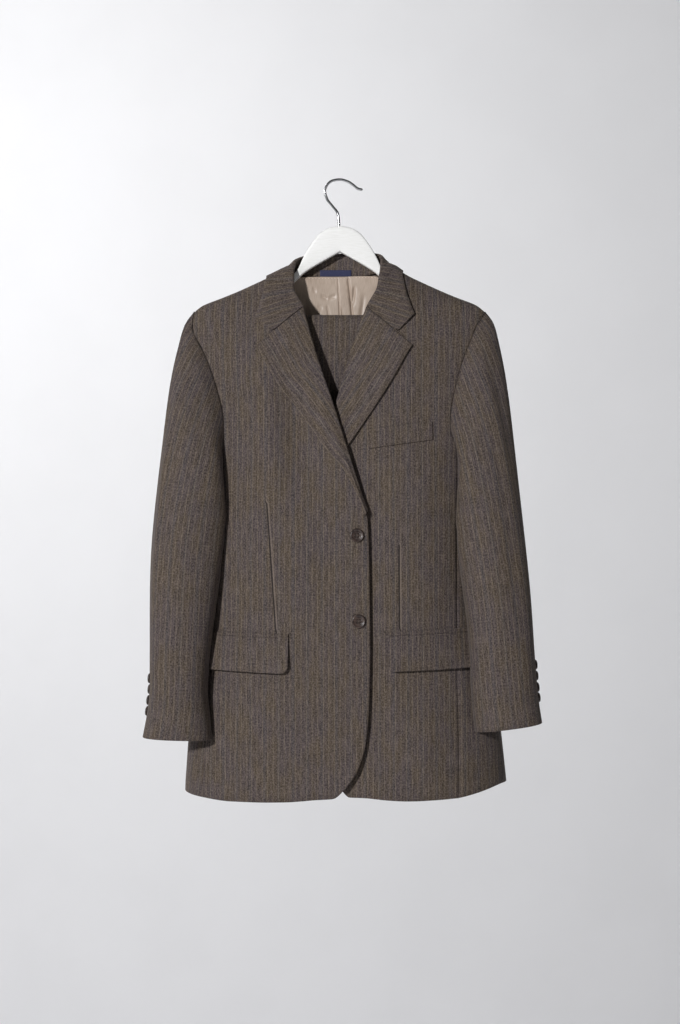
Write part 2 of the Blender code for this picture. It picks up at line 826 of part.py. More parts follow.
def sleeve_grid(side, rings_above=7, rings_below=9):
    # Outer points of a whole sleeve, ring by ring from the armhole to the cuff.
    loop = armhole_loop(side)
    turns = Curve([t.armhole for t in SLEEVE_TURNS], [t.angle for t in SLEEVE_TURNS])
    table = columns(SLEEVE_RINGS[side], "height")
    top = SLEEVE_RINGS[side][0].height
    bottom = SLEEVE_RINGS[side][-1].height
    roundness = 0.88

    def level_point(angle, z):
        inner, outer = table["inner"](z), table["outer"](z)
        middle, half = (inner + outer) / 2, (outer - inner) / 2
        cos, sin = math.cos(angle), math.sin(angle)
        across = middle + half * math.copysign(abs(cos) ** roundness, cos)
        y = table["centre_y"](z) - table["depth"](z) / 2 * math.copysign(abs(sin) ** roundness, sin)
        lean = table["tilt"](z) * (across - middle)
        return np.array([side * across, y, z + lean])

    grid = np.zeros((rings_above + rings_below + 1, SLEEVE_COLUMNS, 3))
    for c in range(SLEEVE_COLUMNS):
        share = c / SLEEVE_COLUMNS
        start = along(loop, share)
        angle = math.radians(turns(share))
        end = level_point(angle, top)
        length = np.linalg.norm(end - start)
        outward = unit([side * 0.78, -0.3 * math.sin(angle) * (1 if math.sin(angle) > 0 else 0.0), -0.62])
        if math.sin(angle) > 0.2:
            outward = unit([side * 0.62, -0.75 * math.sin(angle), -0.3])
        start = start + body_normal(start) * (SLEEVE_CLOTH + ARMHOLE_GAP)
        first = start + outward * min(45, 0.3 * length)
        second = end + np.array([0, 0, 1.0]) * 0.45 * length
        second[0] -= side * 0.06 * length * (1 if math.cos(angle) > 0.3 else 0)
        for r in range(rings_above + 1):
            t = r / rings_above
            point = (
                (1 - t) ** 3 * start + 3 * t * (1 - t) ** 2 * first
                + 3 * t * t * (1 - t) * second + t ** 3 * end
            )
            grid[r, c] = point
        for r in range(1, rings_below + 1):
            z = top + (bottom - top) * r / rings_below
            grid[rings_above + r, c] = level_point(angle, z)
    for r in range(1, grid.shape[0]):
        for c in range(SLEEVE_COLUMNS):
            forward = forward_of_body(grid[r, c], sleeve_room(r))
            share = 1.0 if c < SLEEVE_COLUMNS / 2 else smooth_step(0.3, 1.0, r / rings_above)
            grid[r, c] += (forward - grid[r, c]) * share
    for _ in range(2):
        grid[2:-3] = 0.5 * grid[2:-3] + 0.25 * (grid[1:-4] + grid[3:-2])
        for r in range(1, grid.shape[0]):
            for c in range(SLEEVE_COLUMNS):
                if grid[r, c, 2] < -380:
                    grid[r, c] = clear_of_body(grid[r, c], sleeve_room(r))
    return grid


def sleeve_room(ring):
    # How far a sleeve's ring keeps from the body's outer face.
    return min(SLEEVE_CLOTH + ARMHOLE_GAP + 0.7 * ring, 5.0)


def forward_of_body(point, room):
    # Moves a sleeve's point forward until it lies in front of the body's side.
    x, y, z = point
    inside = abs(x - BODY["centre"](z)) < BODY["half_width"](z) + room
    if inside and body_value(point) < 0.35:
        for _ in range(60):
            slope = body_slope((x, y, z))
            steep = max(np.linalg.norm(slope), 1e-6)
            if body_value((x, y, z)) / steep >= room:
                break
            y -= 1.0
    return np.array([x, y, z])


def sleeves(side):
    word = "right" if side == RIGHT else "left"
    grid = sleeve_grid(side)
    normals = grid_normals(grid, closed_columns=True)
    middle = grid.mean(axis=1, keepdims=True)
    outward = np.sum((grid - middle) * normals, axis=2).mean()
    if outward < 0:
        normals = -normals
    inner = grid - SLEEVE_CLOTH * normals
    around = np.roll(grid, -1, axis=1) - np.roll(grid, 1, axis=1)
    around /= np.linalg.norm(around, axis=2, keepdims=True)

    def piece(name, low, high):
        picks = [i % SLEEVE_COLUMNS for i in range(low, high + 1)]
        outer_part, inner_part = grid[:, picks].copy(), inner[:, picks].copy()
        for column, sign in ((0, 1), (-1, -1)):
            shift = around[:, picks[column]] * sign * SLEEVE_SEAM / 2
            outer_part[:, column] += shift
            inner_part[:, column] += shift
        return wall(name, outer_part, inner_part, "suit_cloth")

    piece("top_sleeve_" + word, ELBOW_SEAM_COLUMN - SLEEVE_COLUMNS, FOREARM_SEAM_COLUMN)
    piece("under_sleeve_" + word, FOREARM_SEAM_COLUMN, ELBOW_SEAM_COLUMN)
    return grid, normals


# ---- lapels and collar ----


def front_face(x, z, side):
    base = np.array([x, body_depth(x, z, True), z])
    return base + np.array([0, front_shift(x, z, side), 0]), body_normal(base)


def lapel(side):
    name = "lapel_right" if side == RIGHT else "lapel_left"
    edge = "right" if side == RIGHT else "left"
    rows, flat_columns = 17, 6
    roll_line = [(getattr(p, edge), p.height) for p in FRONT_EDGE
                 if BREAK_HEIGHT < p.height + 0.5 and p.height < GORGE_HEIGHT + 0.5]
    outer_edge = [(p.across, p.height) for p in LAPEL_EDGE[side]]
    roll_start = np.array(roll_line[0]) + np.array([0, 4.0])
    roll_line[0] = tuple(roll_start)
    inner_points, outer_points = line_of(roll_line, rows), line_of(outer_edge, rows)
    half = LAPEL_CLOTH / 2
    radius = FRONT_CLOTH / 2 + SEAM_GAP + half + 0.1
    turns = [math.radians(a) for a in (-25, 10, 45, 78)]
    outer = np.zeros((rows, len(turns) + flat_columns, 3))
    inner = np.zeros_like(outer)
    for r in range(rows):
        start, end = inner_points[r], outer_points[r]
        if r == 0:
            end = start + unit(end - start) * 7
        face, normal = front_face(start[0], start[1], side)
        axis = face - normal * FRONT_CLOTH / 2
        beyond, _ = front_face(*(start + (end - start) * 0.05), side)
        away = unit(face - beyond)
        away = unit(away - normal * np.dot(away, normal))
        up = r / (rows - 1)
        for k, turn in enumerate(turns):
            ray = math.cos(turn) * away + math.sin(turn) * normal
            outer[r, k] = axis + ray * (radius + half)
            inner[r, k] = axis + ray * (radius - half)
        for c in range(flat_columns):
            share = (c + 1) / flat_columns
            place = start + (end - start) * (0.06 + 0.94 * share)
            face, normal = front_face(place[0], place[1], side)
            lift = SEAM_GAP + 0.3 + LAPEL_LIFT * (1 - 0.5 * up) * math.sin(math.pi * share ** 0.7) ** 2
            inner[r, len(turns) + c] = face + normal * lift
            outer[r, len(turns) + c] = face + normal * (lift + LAPEL_CLOTH)
    return wall(name, outer, inner, "suit_cloth")


def neck_seam_points():
    return [(p.across, body_depth(p.across, p.height, p.front), p.height) for p in NECK_SEAM]


def collar_frame(share):
    # The stand's top edge at a share of the collar, with its upward and outward directions.
    fold, seam = along(COLLAR_FOLD, share), along(neck_seam_points(), share)
    forward = unit(along(COLLAR_FOLD, min(share + 0.01, 1)) - along(COLLAR_FOLD, max(share - 0.01, 0)))
    rise = fold - seam
    up = unit(rise - forward * np.dot(rise, forward))
    normal = unit(np.cross(forward, up))
    if np.dot(normal, fold - np.array([-4, -12, fold[2]])) < 0:
        normal = -normal
    reach = STAND_CLOTH / 2 + SEAM_GAP + COLLAR_CLOTH + 0.2
    axis = fold - up * reach
    end = 1 - smooth_step(0.05, 0.15, min(share, 1 - share))
    if end > 0:
        # Near the gorge the collar rolls round the front's own edge.
        side = RIGHT if share < 0.5 else LEFT
        x, z = EDGES["right" if side == RIGHT else "left"](fold[2]), fold[2]
        face, face_normal = front_face(x, z, side)
        edge_away = unit(np.array([-side * 0.94, 0, 0.34]))
        edge_away = unit(edge_away - face_normal * np.dot(edge_away, face_normal))
        edge_axis = face - face_normal * FRONT_CLOTH / 2
        axis = axis + (edge_axis - axis) * end
        up = unit(up + (edge_away - up) * end)
        normal = unit(normal + (face_normal - normal) * end)
    return axis, up, normal, seam


def collar():
    count, flat_columns = 29, 5
    half = COLLAR_CLOTH / 2
    radius = STAND_CLOTH / 2 + SEAM_GAP + half + 0.2
    turns = [math.radians(a) for a in (-40, 5, 50)]
    outer = np.zeros((count, len(turns) + flat_columns, 3))
    inner = np.zeros_like(outer)
    flat = np.zeros((count, flat_columns, 3))
    stand = []
    for i in range(count):
        share = i / (count - 1)
        axis, up, normal, seam = collar_frame(share)
        for k, turn in enumerate(turns):
            ray = math.cos(turn) * up + math.sin(turn) * normal
            outer[i, k] = axis + ray * (radius + half)
            inner[i, k] = axis + ray * (radius - half)
        leaf = along(COLLAR_LEAF, share)
        start = axis + normal * radius
        side = RIGHT if share < 0.5 else LEFT
        corner = max(1 - min(share, 1 - share) / NOTCH_REACH, 0) ** 1.5
        for c in range(flat_columns):
            part = c / (flat_columns - 1)
            place = start + (leaf - start) * part
            if corner > 0 and 0 < c <= NOTCH_COLUMN:
                straight = start + (leaf - start) * NOTCH_COLUMN / (flat_columns - 1)
                pull = np.array([NOTCH[side][0], 0, NOTCH[side][1]]) - straight
                pull[1] = 0
                place = place + pull * corner * c / NOTCH_COLUMN
            off_stand = np.dot(place - seam, normal)
            if part > 0 and np.dot(place - seam, up) > -2 and off_stand < radius + FALL_EASE:
                place = place + normal * (radius + FALL_EASE - off_stand)
            room = half + SEAM_GAP + (1.0 if part == 1 else 1.8) + 1.3 * smooth_step(-170, -150, place[2])
            if part > 0 and place[2] < -190:
                face, face_normal = front_face(place[0], place[2], side)
                place = face + face_normal * room
            elif part > 0 and place[2] < -126:
                place = clear_of_body(place, room)
            flat[i, c] = place
        height = np.linalg.norm(axis - seam)
        if height > 5:
            stand.append((axis - up * 1.5, normal, seam + (axis - seam) * STAND_LIFT / height))
    middle = np.concatenate([((outer + inner) / 2)[:, :len(turns)], flat], axis=1)
    normals = grid_normals(middle)
    if normals[count // 2, -2][1] < 0:
        normals = -normals
    outer[:, len(turns):] = flat + normals[:, len(turns):] * half
    inner[:, len(turns):] = flat - normals[:, len(turns):] * half
    wall("collar_fall", outer, inner, "suit_cloth")
    stand_rows = 3
    stand_outer = np.array([[low + (high - low) * k / stand_rows + normal * STAND_CLOTH / 2
                             for k in range(stand_rows + 1)] for high, normal, low in stand])
    stand_inner = np.array([[low + (high - low) * k / stand_rows - normal * STAND_CLOTH / 2
                             for k in range(stand_rows + 1)] for high, normal, low in stand])
    wall("collar_stand", stand_outer, stand_inner, "suit_cloth")


# ---- pieces laid on the panels ----


def laid_on_front(name, side, corners, thickness, lift, columns_count, rows_count, rounding=None):
    # A flat piece whose four corners are given in the front view, laid on the front's face.
    low_in, low_out, high_in, high_out = (np.array(c, float) for c in corners)
    outer = np.zeros((rows_count, columns_count, 3))
    inner = np.zeros_like(outer)
    for r in range(rows_count):
        t = r / (rows_count - 1)
        for c in range(columns_count):
            s = c / (columns_count - 1)
            if rounding:
                s -= math.sin(2 * math.pi * s) / (2.4 * math.pi)
            low = low_in + (low_out - low_in) * s
            high = high_in + (high_out - high_in) * s
            place = low + (high - low) * t
            if rounding and r == 0:
                place = place + (high - low) * rounding(s)
            face, normal = front_face(place[0], place[1], side)
            height = SEAM_GAP + LAID_LIFT + lift * (1 - t)
            inner[r, c] = face + normal * height
            outer[r, c] = face + normal * (height + thickness)
    return wall(name, outer, inner, "suit_cloth")


def round_corners(length, radius, height):
    def rise(s):
        away = min(s, 1 - s) * length
        if away >= radius:
            return 0.0
        return (radius - math.sqrt(radius ** 2 - (radius - away) ** 2)) / height
    return rise


def pockets():
    flap_round = round_corners(118, 11, 52)
    laid_on_front("pocket_flap_right", RIGHT,
                  ((-75, -731), (-196, -727), (-75, -680), (-196, -677)), FLAP_CLOTH, 1.2, 13, 5, flap_round)
    laid_on_front("pocket_jet_right", RIGHT,
                  ((-75, -679.5), (-196, -676.5), (-75, -674.5), (-196, -671.5)), JET_CLOTH, JET_LIFT, 11, 2)
    laid_on_front("pocket_flap_left", LEFT,
                  ((68, -728), (198, -724), (68, -677), (198, -672)), FLAP_CLOTH, 1.2, 13, 5, flap_round)
    laid_on_front("pocket_jet_left", LEFT,
                  ((68, -676.5), (198, -671.5), (68, -671.5), (198, -666.5)), JET_CLOTH, JET_LIFT, 11, 2)
    laid_on_front("chest_welt", LEFT,
                  ((42, -404), (135, -391), (42, -376), (135, -365)), WELT_CLOTH, 0.4, 7, 2)


def button(name, centre, normal, radius, thickness, holes):
    # A round button with a raised rim; the front ones have four sewing holes cut through.
    sides = 20 if holes else 12
    normal = unit(normal)
    across = unit(np.cross(normal, [0, 0, 1]))
    upward = np.cross(across, normal)
    profile = ((0.86, 0.0), (1.0, 0.35), (1.0, 0.75), (0.88, 1.0), (0.7, 0.75))
    rings = []
    for share, level in profile:
        ring = [centre + (across * math.cos(a) + upward * math.sin(a)) * radius * share
                + normal * thickness * level
                for a in (2 * math.pi * i / sides for i in range(sides))]
        rings.append(ring)
    made = loft(name, np.array(rings), "buttons")
    if holes:
        for i in range(4):
            turn = math.pi / 4 + i * math.pi / 2
            place = centre + (across * math.cos(turn) + upward * math.sin(turn)) * BUTTON_HOLE_REACH
            cut(made, rod(f"{name}_hole_{i}", place - normal * 3, place + normal * 8, BUTTON_HOLE_RADIUS, 8))
    return made


def rod(name, start, end, radius, sides, finish="steel"):
    axis = unit(np.asarray(end, float) - start)
    across = unit(np.cross(axis, [0.3, 0.9, 0.2]))
    upward = np.cross(axis, across)
    rings = [[p + (across * math.cos(a) + upward * math.sin(a)) * radius
              for a in (2 * math.pi * i / sides for i in range(sides))]
             for p in (np.asarray(start, float), np.asarray(end, float))]
    return loft(name, np.array(rings), finish)


def cut(target, cutter):
    cutter.hide_render = True
    cutter.display_type = "WIRE"
    cutting = target.modifiers.new("cut_" + cutter.name, "BOOLEAN")
    cutting.operation = "DIFFERENCE"
    cutting.object = cutter


def buttons(sleeve_forms):
    for name, x, z in FRONT_BUTTONS:
        face, normal = front_face(x, z, RIGHT)
        button(name, face + normal * (SEAM_GAP + 0.25), normal, BUTTON_RADIUS, BUTTON_THICKNESS, True)
    for side, word in ((RIGHT, "right"), (LEFT, "left")):
        grid, normals = sleeve_forms[side]
        column = SLEEVE_COLUMNS - 1
        for i, height in enumerate(CUFF_BUTTON_HEIGHTS[side]):
            heights = grid[:, column, 2]
            low = int(np.argmax(heights < height))
            share = (heights[low - 1] - height) / (heights[low - 1] - heights[low])
            place = grid[low - 1, column] * (1 - share) + grid[low, column] * share
            normal = unit(normals[low - 1, column] * (1 - share) + normals[low, column] * share)
            button(f"cuff_button_{word}_{i + 1}", place + normal * (SEAM_GAP + 0.35), normal,
                   CUFF_BUTTON_RADIUS, CUFF_BUTTON_THICKNESS, False)


# ---- lining, label ----


def lining():
    top_edge = [(-96, -186), (-80, -168), (-60, -151), (-30, -146), (0, -146), (30, -146), (52, -149),
                (72, -164), (88, -182)]
    cols, rows = 15, 6
    top = line_of(top_edge, cols)
    outer = np.zeros((rows, cols, 3))
    inner = np.zeros_like(outer)
    for c in range(cols):
        for r in range(rows):
            x = top[c][0]
            z = top[c][1] + (LINING_END - top[c][1]) * r / (rows - 1)
            crease = 12 + 4 * (top[c][1] - z) / 60
            pleat = 3.0 * math.exp(-((x - crease) / 7) ** 2) * smooth_step(-146, -156, z)
            face = np.array([x, body_depth(x, z, False), z])
            normal = body_normal(face)
            outer[r, c] = face - normal * (BACK_CLOTH + SEAM_GAP + 0.5) - np.array([0, pleat, 0])
            inner[r, c] = outer[r, c] - normal * LINING_CLOTH
    wall("back_lining", outer, inner, "lining")


def label():
    cols = 5
    outer = np.zeros((2, cols, 3))
    inner = np.zeros_like(outer)
    for c in range(cols):
        x = -30 + 47 * c / (cols - 1)
        for r, z in enumerate((-132.5, -142.3)):
            face = stand_face(x, z)
            inner[r, c] = face + np.array([0, -SEAM_GAP, 0])
            outer[r, c] = face + np.array([0, -SEAM_GAP - 0.9, 0])
    wall("neck_label", outer, inner, "label")


def stand_face(x, z):
    # The inner face of the collar's stand at the back of the neck.
    share = min((i / 200 for i in range(60, 141)), key=lambda s: abs(along(COLLAR_FOLD, s)[0] - x))
    axis, _, normal, seam = collar_frame(share)
    up = (z - seam[2]) / (axis[2] - seam[2])
    face = seam + (axis - seam) * up - normal * STAND_CLOTH / 2
    return np.array([x, face[1] - 0.15, z])


# ---- hanger ----


def hanger():
    half = [(s.across, s.top, s.bottom) for s in BOARD_STATIONS]
    for across, height in ARM_STATIONS:
        fall = 5.0 * smooth_step(197, 209, across)
        top = shoulder_height(across) - ARM_DROP - fall
        half.append((across, top, top - height))
    stations = [(-x, t, b) for x, t, b in half[:0:-1]] + half
    rings = []
    for x, top, bottom in stations:
        crest = min(max(abs(x) - 56, 0) / 40, 1)
        middle_y = BODY["side_y"](shoulder_height(max(abs(x), 62.5))) * crest
        middle = (top + bottom) / 2
        tall = (top - bottom) / 2
        thick = BOARD_THICKNESS / 2
        end = 0.6 if abs(x) > 208 else 0.85 if abs(x) > 204 else 1.0
        ring = []
        for across, up in ((-0.6, 1), (0.6, 1), (1, 0.75), (1, -0.75), (0.6, -1), (-0.6, -1), (-1, -0.75), (-1, 0.75)):
            soft = 1 - 0.25 * min(4 / tall, 1) if abs(up) < 1 else 1
            level = middle + tall * (up if abs(up) == 1 else math.copysign(soft, up))
            ring.append((x, middle_y + thick * end * across, level))
        rings.append(ring)
    board = loft("hanger_board", np.array(rings), "painted_wood")
    bar_y, bar_z = BAR_CENTRE
    start, end = np.array([-BAR_HALF_LENGTH, bar_y, bar_z]), np.array([BAR_HALF_LENGTH, bar_y, bar_z])
    more = np.array([SEAM_GAP, 0, 0])
    rod("hanger_bar", start, end, BAR_RADIUS, 16, "painted_wood")
    cut(board, rod("bar_socket", start - more, end + more, BAR_RADIUS + SEAM_GAP, 16))
    path = [np.array([x, 0, z]) for x, z in HOOK_PATH]
    sweep("hanger_hook", path, HOOK_WIRE_RADIUS, 10, 34, "steel")
    stem_low = np.array([HOOK_PATH[0][0], 0, HOOK_PATH[0][1] - SEAM_GAP])
    stem_high = np.array([HOOK_PATH[1][0], 0, HOOK_PATH[1][1] + 12])
    cut(board, rod("stem_socket", stem_low, stem_high, HOOK_WIRE_RADIUS + SEAM_GAP, 12))


def sweep(name, path, radius, sides, count, finish):
    line = line_of(path, count)
    rings = []
    for i, point in enumerate(line):
        axis = unit(line[min(i + 1, count - 1)] - line[max(i - 1, 0)])
        across = np.array([0.0, 1.0, 0.0])
        upward = np.cross(axis, across)
        size = radius * (0.6 if i in (0, count - 1) else 1)
        rings.append([point + (across * math.cos(a) + upward * math.sin(a)) * size
                      for a in (2 * math.pi * k / sides for k in range(sides))])
    return loft(name, np.array(rings), finish)


# ---- trousers ----


def over_bar(radius, low_front, low_back, rows_straight, rows_arc):
    # Points (y, z) and outward directions of a line laid over the bar at a radius.
    y0, z0 = BAR_CENTRE
    line = []
    for i in range(rows_straight):
        z = low_front + (z0 - low_front) * i / rows_straight
        line.append(((y0 - radius, z), (-1.0, 0.0)))
    for i in range(rows_arc + 1):
        a = math.pi * i / rows_arc
        line.append(((y0 - radius * math.cos(a), z0 + radius * math.sin(a)), (-math.cos(a), math.sin(a))))
    for i in range(1, rows_straight + 1):
        z = z0 + (low_back - z0) * i / rows_straight
        line.append(((y0 + radius, z), (1.0, 0.0)))
    return line


def flat_tube(name, line, widths, centre_x, half_depth, cloth, finish):
    # A flattened tube along a line, with its two creases at the sides.
    outer, inner = [], []
    for ((y, z), (ny, nz)), width in zip(line, widths):
        rings = []
        for trim in (0, cloth):
            half, deep = width / 2 - trim, half_depth - trim
            outline = [(-half + 2, deep), (-half / 2, deep), (0, deep), (half / 2, deep), (half - 2, deep), (half, 0)]
            outline += [(half - 2, -deep), (half / 2, -deep), (0, -deep), (-half / 2, -deep), (-half + 2, -deep)]
            outline += [(-half, 0)]
            rings.append([(centre_x + x, y + ny * n, z + nz * n) for x, n in outline])
        outer.append(rings[0])
        inner.append(rings[1])
    return tube(name, np.array(outer), np.array(inner), finish)


def trousers():
    layer = TROUSER_CLOTH + 0.2
    inner_radius = BAR_RADIUS + SEAM_GAP + layer
    outer_radius = inner_radius + 2 * layer + SEAM_GAP
    for name, radius, end in (("trouser_leg_left", inner_radius, CROTCH_HEIGHT),
                              ("trouser_leg_right", outer_radius, CROTCH_HEIGHT)):
        line = over_bar(radius, LEG_HEM_HEIGHT, end, 5, 8)
        count = len(line)
        lengths = [0.0]
        for (a, _), (b, _) in zip(line[:-1], line[1:]):
            lengths.append(lengths[-1] + math.hypot(b[0] - a[0], b[1] - a[1]))
        width = Curve([0, 350, 483, 820], [215, 228, 242, 316])
        flat_tube(name, line, [width(v) for v in lengths], 0, layer, TROUSER_CLOTH, "suit_cloth")
    middle = (inner_radius + outer_radius) / 2
    depth = (outer_radius - inner_radius) / 2 + layer
    y = BAR_CENTRE[0] + middle
    hips = [((y, z), (1.0, 0.0)) for z in (-520.3, -560, -600, -650, -700, HIP_END_HEIGHT)]
    flat_tube("trouser_hips", hips, [318, 340, 356, 368, 376, 380], 4, depth, TROUSER_CLOTH, "suit_cloth")
    band = [((y, z), (1.0, 0.0)) for z in (HIP_END_HEIGHT - SEAM_GAP, WAIST_END_HEIGHT)]
    flat_tube("trouser_waistband", band, [382, 384], 4, depth + 1, 2.4, "suit_cloth")


def main():
    for old in list(bpy.data.objects):
        bpy.data.objects.remove(old, do_unlink=True)
    for side in (RIGHT, LEFT):
        front_panel(side)
        side_panel(side)
        back_panel(side)
        lapel(side)
    sleeve_forms = {side: sleeves(side) for side in (RIGHT, LEFT)}
    collar()
    pockets()
    buttons(sleeve_forms)
    lining()
    label()
    hanger()
    trousers()


main()
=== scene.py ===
# Two-piece suit on a painted hanger: cloth, lining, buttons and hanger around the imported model.
# Every size is in millimetres until meshFrom turns it into metres.
import math

import bpy
import numpy as np
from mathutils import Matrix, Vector


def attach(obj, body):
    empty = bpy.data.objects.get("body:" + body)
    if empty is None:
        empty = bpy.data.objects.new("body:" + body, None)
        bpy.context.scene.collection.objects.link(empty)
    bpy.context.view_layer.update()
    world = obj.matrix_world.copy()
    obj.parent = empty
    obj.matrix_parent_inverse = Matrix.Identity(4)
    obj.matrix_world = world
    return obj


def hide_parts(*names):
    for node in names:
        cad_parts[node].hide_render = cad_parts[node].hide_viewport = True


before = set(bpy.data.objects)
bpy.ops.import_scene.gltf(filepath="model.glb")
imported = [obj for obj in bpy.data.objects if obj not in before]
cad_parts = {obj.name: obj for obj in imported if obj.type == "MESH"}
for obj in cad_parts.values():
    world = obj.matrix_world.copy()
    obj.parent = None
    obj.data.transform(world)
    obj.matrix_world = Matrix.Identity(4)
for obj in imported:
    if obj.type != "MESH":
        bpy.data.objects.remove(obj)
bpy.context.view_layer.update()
print("frame loaded:", len(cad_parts), "nodes")

right, left = -1, 1  # the wearer's sides, seen from the front at -X and +X
sideWord, sideColumn = {right: "right", left: "left"}, {right: 1, left: 2}
fullTurn = 2 * math.pi
seamGap = 0.3

cloth = {  # how thick each layer hangs, in mm
    "front": 2.2, "side": 1.8, "back": 1.6, "sleeve": 1.8, "lapel": 2.0, "collar": 2.0,
    "stand": 2.0, "flap": 2.5, "jet": 1.5, "welt": 1.8, "lining": 1.0, "trouser": 1.5,
}

bodyForm = {
    # height, centre, half width, front y, side y, back y
    "rings": [
        (-905, 9, 241, -92, 0, 18), (-800, 7, 231, -92, 0, 18), (-700, 4, 214, -91, 0, 18),
        (-600, 1, 205, -88, 0, 18), (-530, 0, 204, -84, -3, 18), (-456, 0, 207, -78, -6, 18),
        (-375, 0, 211, -71, -10, 18), (-300, 0, 216, -64, -15, 18), (-260, 0, 219, -60, -18, 18),
        (-225, 0, 221, -54, -21, 18), (-200, 0, 217, -47, -21, 17), (-170, 0, 156, -36, -15, 16),
        (-146, 0, 106, -24, -9, 15.5), (-133, 0, 80, -18, -6, 15), (-124, 0, 62, -14, -4, 14),
    ],
    "frontRoundness": 2.4,
    "backRoundness": 3.0,
    # height, wearer's right, left: distances of the armhole's edge from the middle
    "frontArmhole": [
        (-199.4, 216, 215), (-213, 219, 207), (-229, 218, 199), (-251, 206, 191), (-266, 199, 184),
        (-291, 189, 176), (-320, 180, 169), (-354, 172, 163), (-376, 171, 163), (-402, 173, 173),
    ],
    "backArmhole": [
        (-199.4, 216, 215), (-220, 214, 214), (-245, 205, 205), (-280, 194, 194), (-320, 187, 187),
        (-360, 185, 185), (-408, 188, 188),
    ],
    "underArmhole": [
        (-402, 173, 173), (-425, 181, 181), (-443, 193, 193), (-456, 207, 207), (-443, 200, 200),
        (-425, 191, 191), (-408, 188, 188),
    ],
    # height, front seam on the right and left, back seam: distances from the ring's centre
    "sideSeams": [(-919, 212, 164, 206), (-745, 198, 166, 186), (-600, 183, 170, 174), (-402, 173, 173, 188)],
}
openFront = {
    # height, wearer's right, left: where each front's edge or roll line runs
    "edges": [
        (-899, 7, 0), (-870, 26, -19), (-827, 37.6, -30), (-769, 42, -35), (-697, 43.4, -38),
        (-600, 42.5, -41), (-523, 40.5, -43), (-501, 39, -44), (-475, 31, -37), (-401, 7, -19),
        (-332, -15, -2), (-273, -35, 14.7), (-236, -46, 26.5), (-197, -56, 41), (-165, -73, 58),
        (-145, -80, 68), (-136, -84, 74),
    ],
    "hem": [
        (-232, -911), (-200, -916), (-150, -919), (-60, -917), (-14, -912), (22, -912),
        (100, -916.5), (170, -914), (210, -909), (250, -897),
    ],
    "backHem": -905, "sideHem": -919,
    "breakHeight": -501,
    "gorgeHeight": -197,
    "neckPoint": {right: (-84, -136), left: (74, -131)},
    # x and z at both ends, width, depth: troughs above 0 and ridges below 0
    "folds": [
        (-72, -300, -62, -480, 14, 2.5), (-112, -300, -104, -520, 16, -1.5),
        (-160, -270, -150, -400, 14, 2.0), (78, -290, 84, -420, 13, 2.0),
    ],
    # the finer creases that the cloth takes between its seams
    "creases": [
        (-74, -270, -34, -480, 24, 5.2), (-112, -250, -92, -500, 17, -2.4), (-20, -480, -14, -640, 26, 2.6),
        (124, -400, 128, -720, 38, -4.5), (126, -760, 130, -905, 38, -4.5),
        (-92, -250, -84, -420, 7, 0.9), (-132, -262, -128, -430, 8, -0.8), (-46, -420, -34, -560, 9, 0.8),
        (-150, -420, -120, -520, 9, 0.9), (-168, -470, -140, -600, 8, 0.7), (-60, -560, -52, -660, 10, -0.7),
        (-30, -690, -22, -850, 12, 0.9), (-86, -745, -92, -900, 13, -0.9), (-150, -742, -156, -905, 10, 0.8),
        (118, -300, 124, -430, 9, 0.8), (150, -280, 158, -410, 8, -0.8), (60, -450, 52, -560, 9, 0.8),
        (152, -430, 128, -540, 8, 0.8), (164, -500, 146, -620, 8, -0.6), (30, -560, 34, -680, 9, 0.6),
        (60, -740, 70, -900, 13, 0.9), (128, -745, 124, -905, 11, -0.9), (14, -700, 12, -850, 12, 0.7),
    ],
    # the front darts: x and z at both ends
    "darts": {right: (-107, -480, -93, -676), left: (86, -540, 86.5, -672)},
}
neck = {
    "lapelEdge": {
        right: [
            (37, -500), (31, -484), (20, -461), (4, -433), (-19, -406), (-43, -372), (-73, -331),
            (-87, -315), (-101, -291), (-115, -266), (-121, -252),
        ],
        left: [
            (-43, -500), (-38, -484), (-27, -458), (-8, -425), (13, -397), (31, -371), (48, -346),
            (66, -318), (80, -295), (94, -270), (105, -252),
        ],
    },
    # how far the lapels bow out and their edges stand off, and how far the collar's edge is pressed down
    "lapelLift": 3.5, "edgeLift": {right: 1.0, left: 4.2}, "leafPress": {right: 1.0, left: -2.4},
    "fold": [
        (-56.6, -46, -195.4), (-61, -41, -183), (-66, -35, -168), (-68, -28, -152), (-68, -18, -135),
        (-67, -7, -123), (-63, 4, -116), (-54, 11.5, -111), (-32, 14, -107.5), (-5, 14.5, -107),
        (22, 14, -106.5), (44, 12, -106.5), (58, 5, -109), (62, -7, -116), (60, -18, -131),
        (57, -28, -150), (53, -35, -168), (47, -41, -183), (41.6, -46, -195.4),
    ],
    "leaf": [
        (-124, -45, -209), (-120, -40, -195), (-115, -34, -179), (-111, -26, -164), (-108, -16, -152),
        (-104, -2, -148), (-88, 12, -151), (-50, 17, -154), (-7, 18, -155), (36, 17, -153),
        (72, 12, -148), (88, -2, -143), (92, -16, -146), (95, -26, -159), (98, -34, -176),
        (103, -40, -191), (109, -45, -206),
    ],
    # x, z and whether the neck seam runs on the front there
    "seam": [
        (-56, -197, True), (-64.5, -182, True), (-72, -167, True), (-77, -154, True), (-82, -141, True),
        (-80, -138.5, False), (-66, -141, False), (-40, -143, False), (-5, -144, False), (30, -143, False),
        (56, -138, False), (70, -132.5, False), (72, -137, True), (68, -148, True), (61, -161, True),
        (51, -179, True), (41, -197, True),
    ],
    "backEdge": [(-84, -136), (-68, -140), (-40, -143), (-5, -144), (30, -143), (58, -139), (74, -131)],
    "notch": {right: (-98.3, -230.6), left: (84.3, -231.3)},
    "notchShare": 0.75,
    "notchReach": 0.2,
    "standLift": 1.7,
    "fallEase": 1.6, "fallBow": 3.2,
}
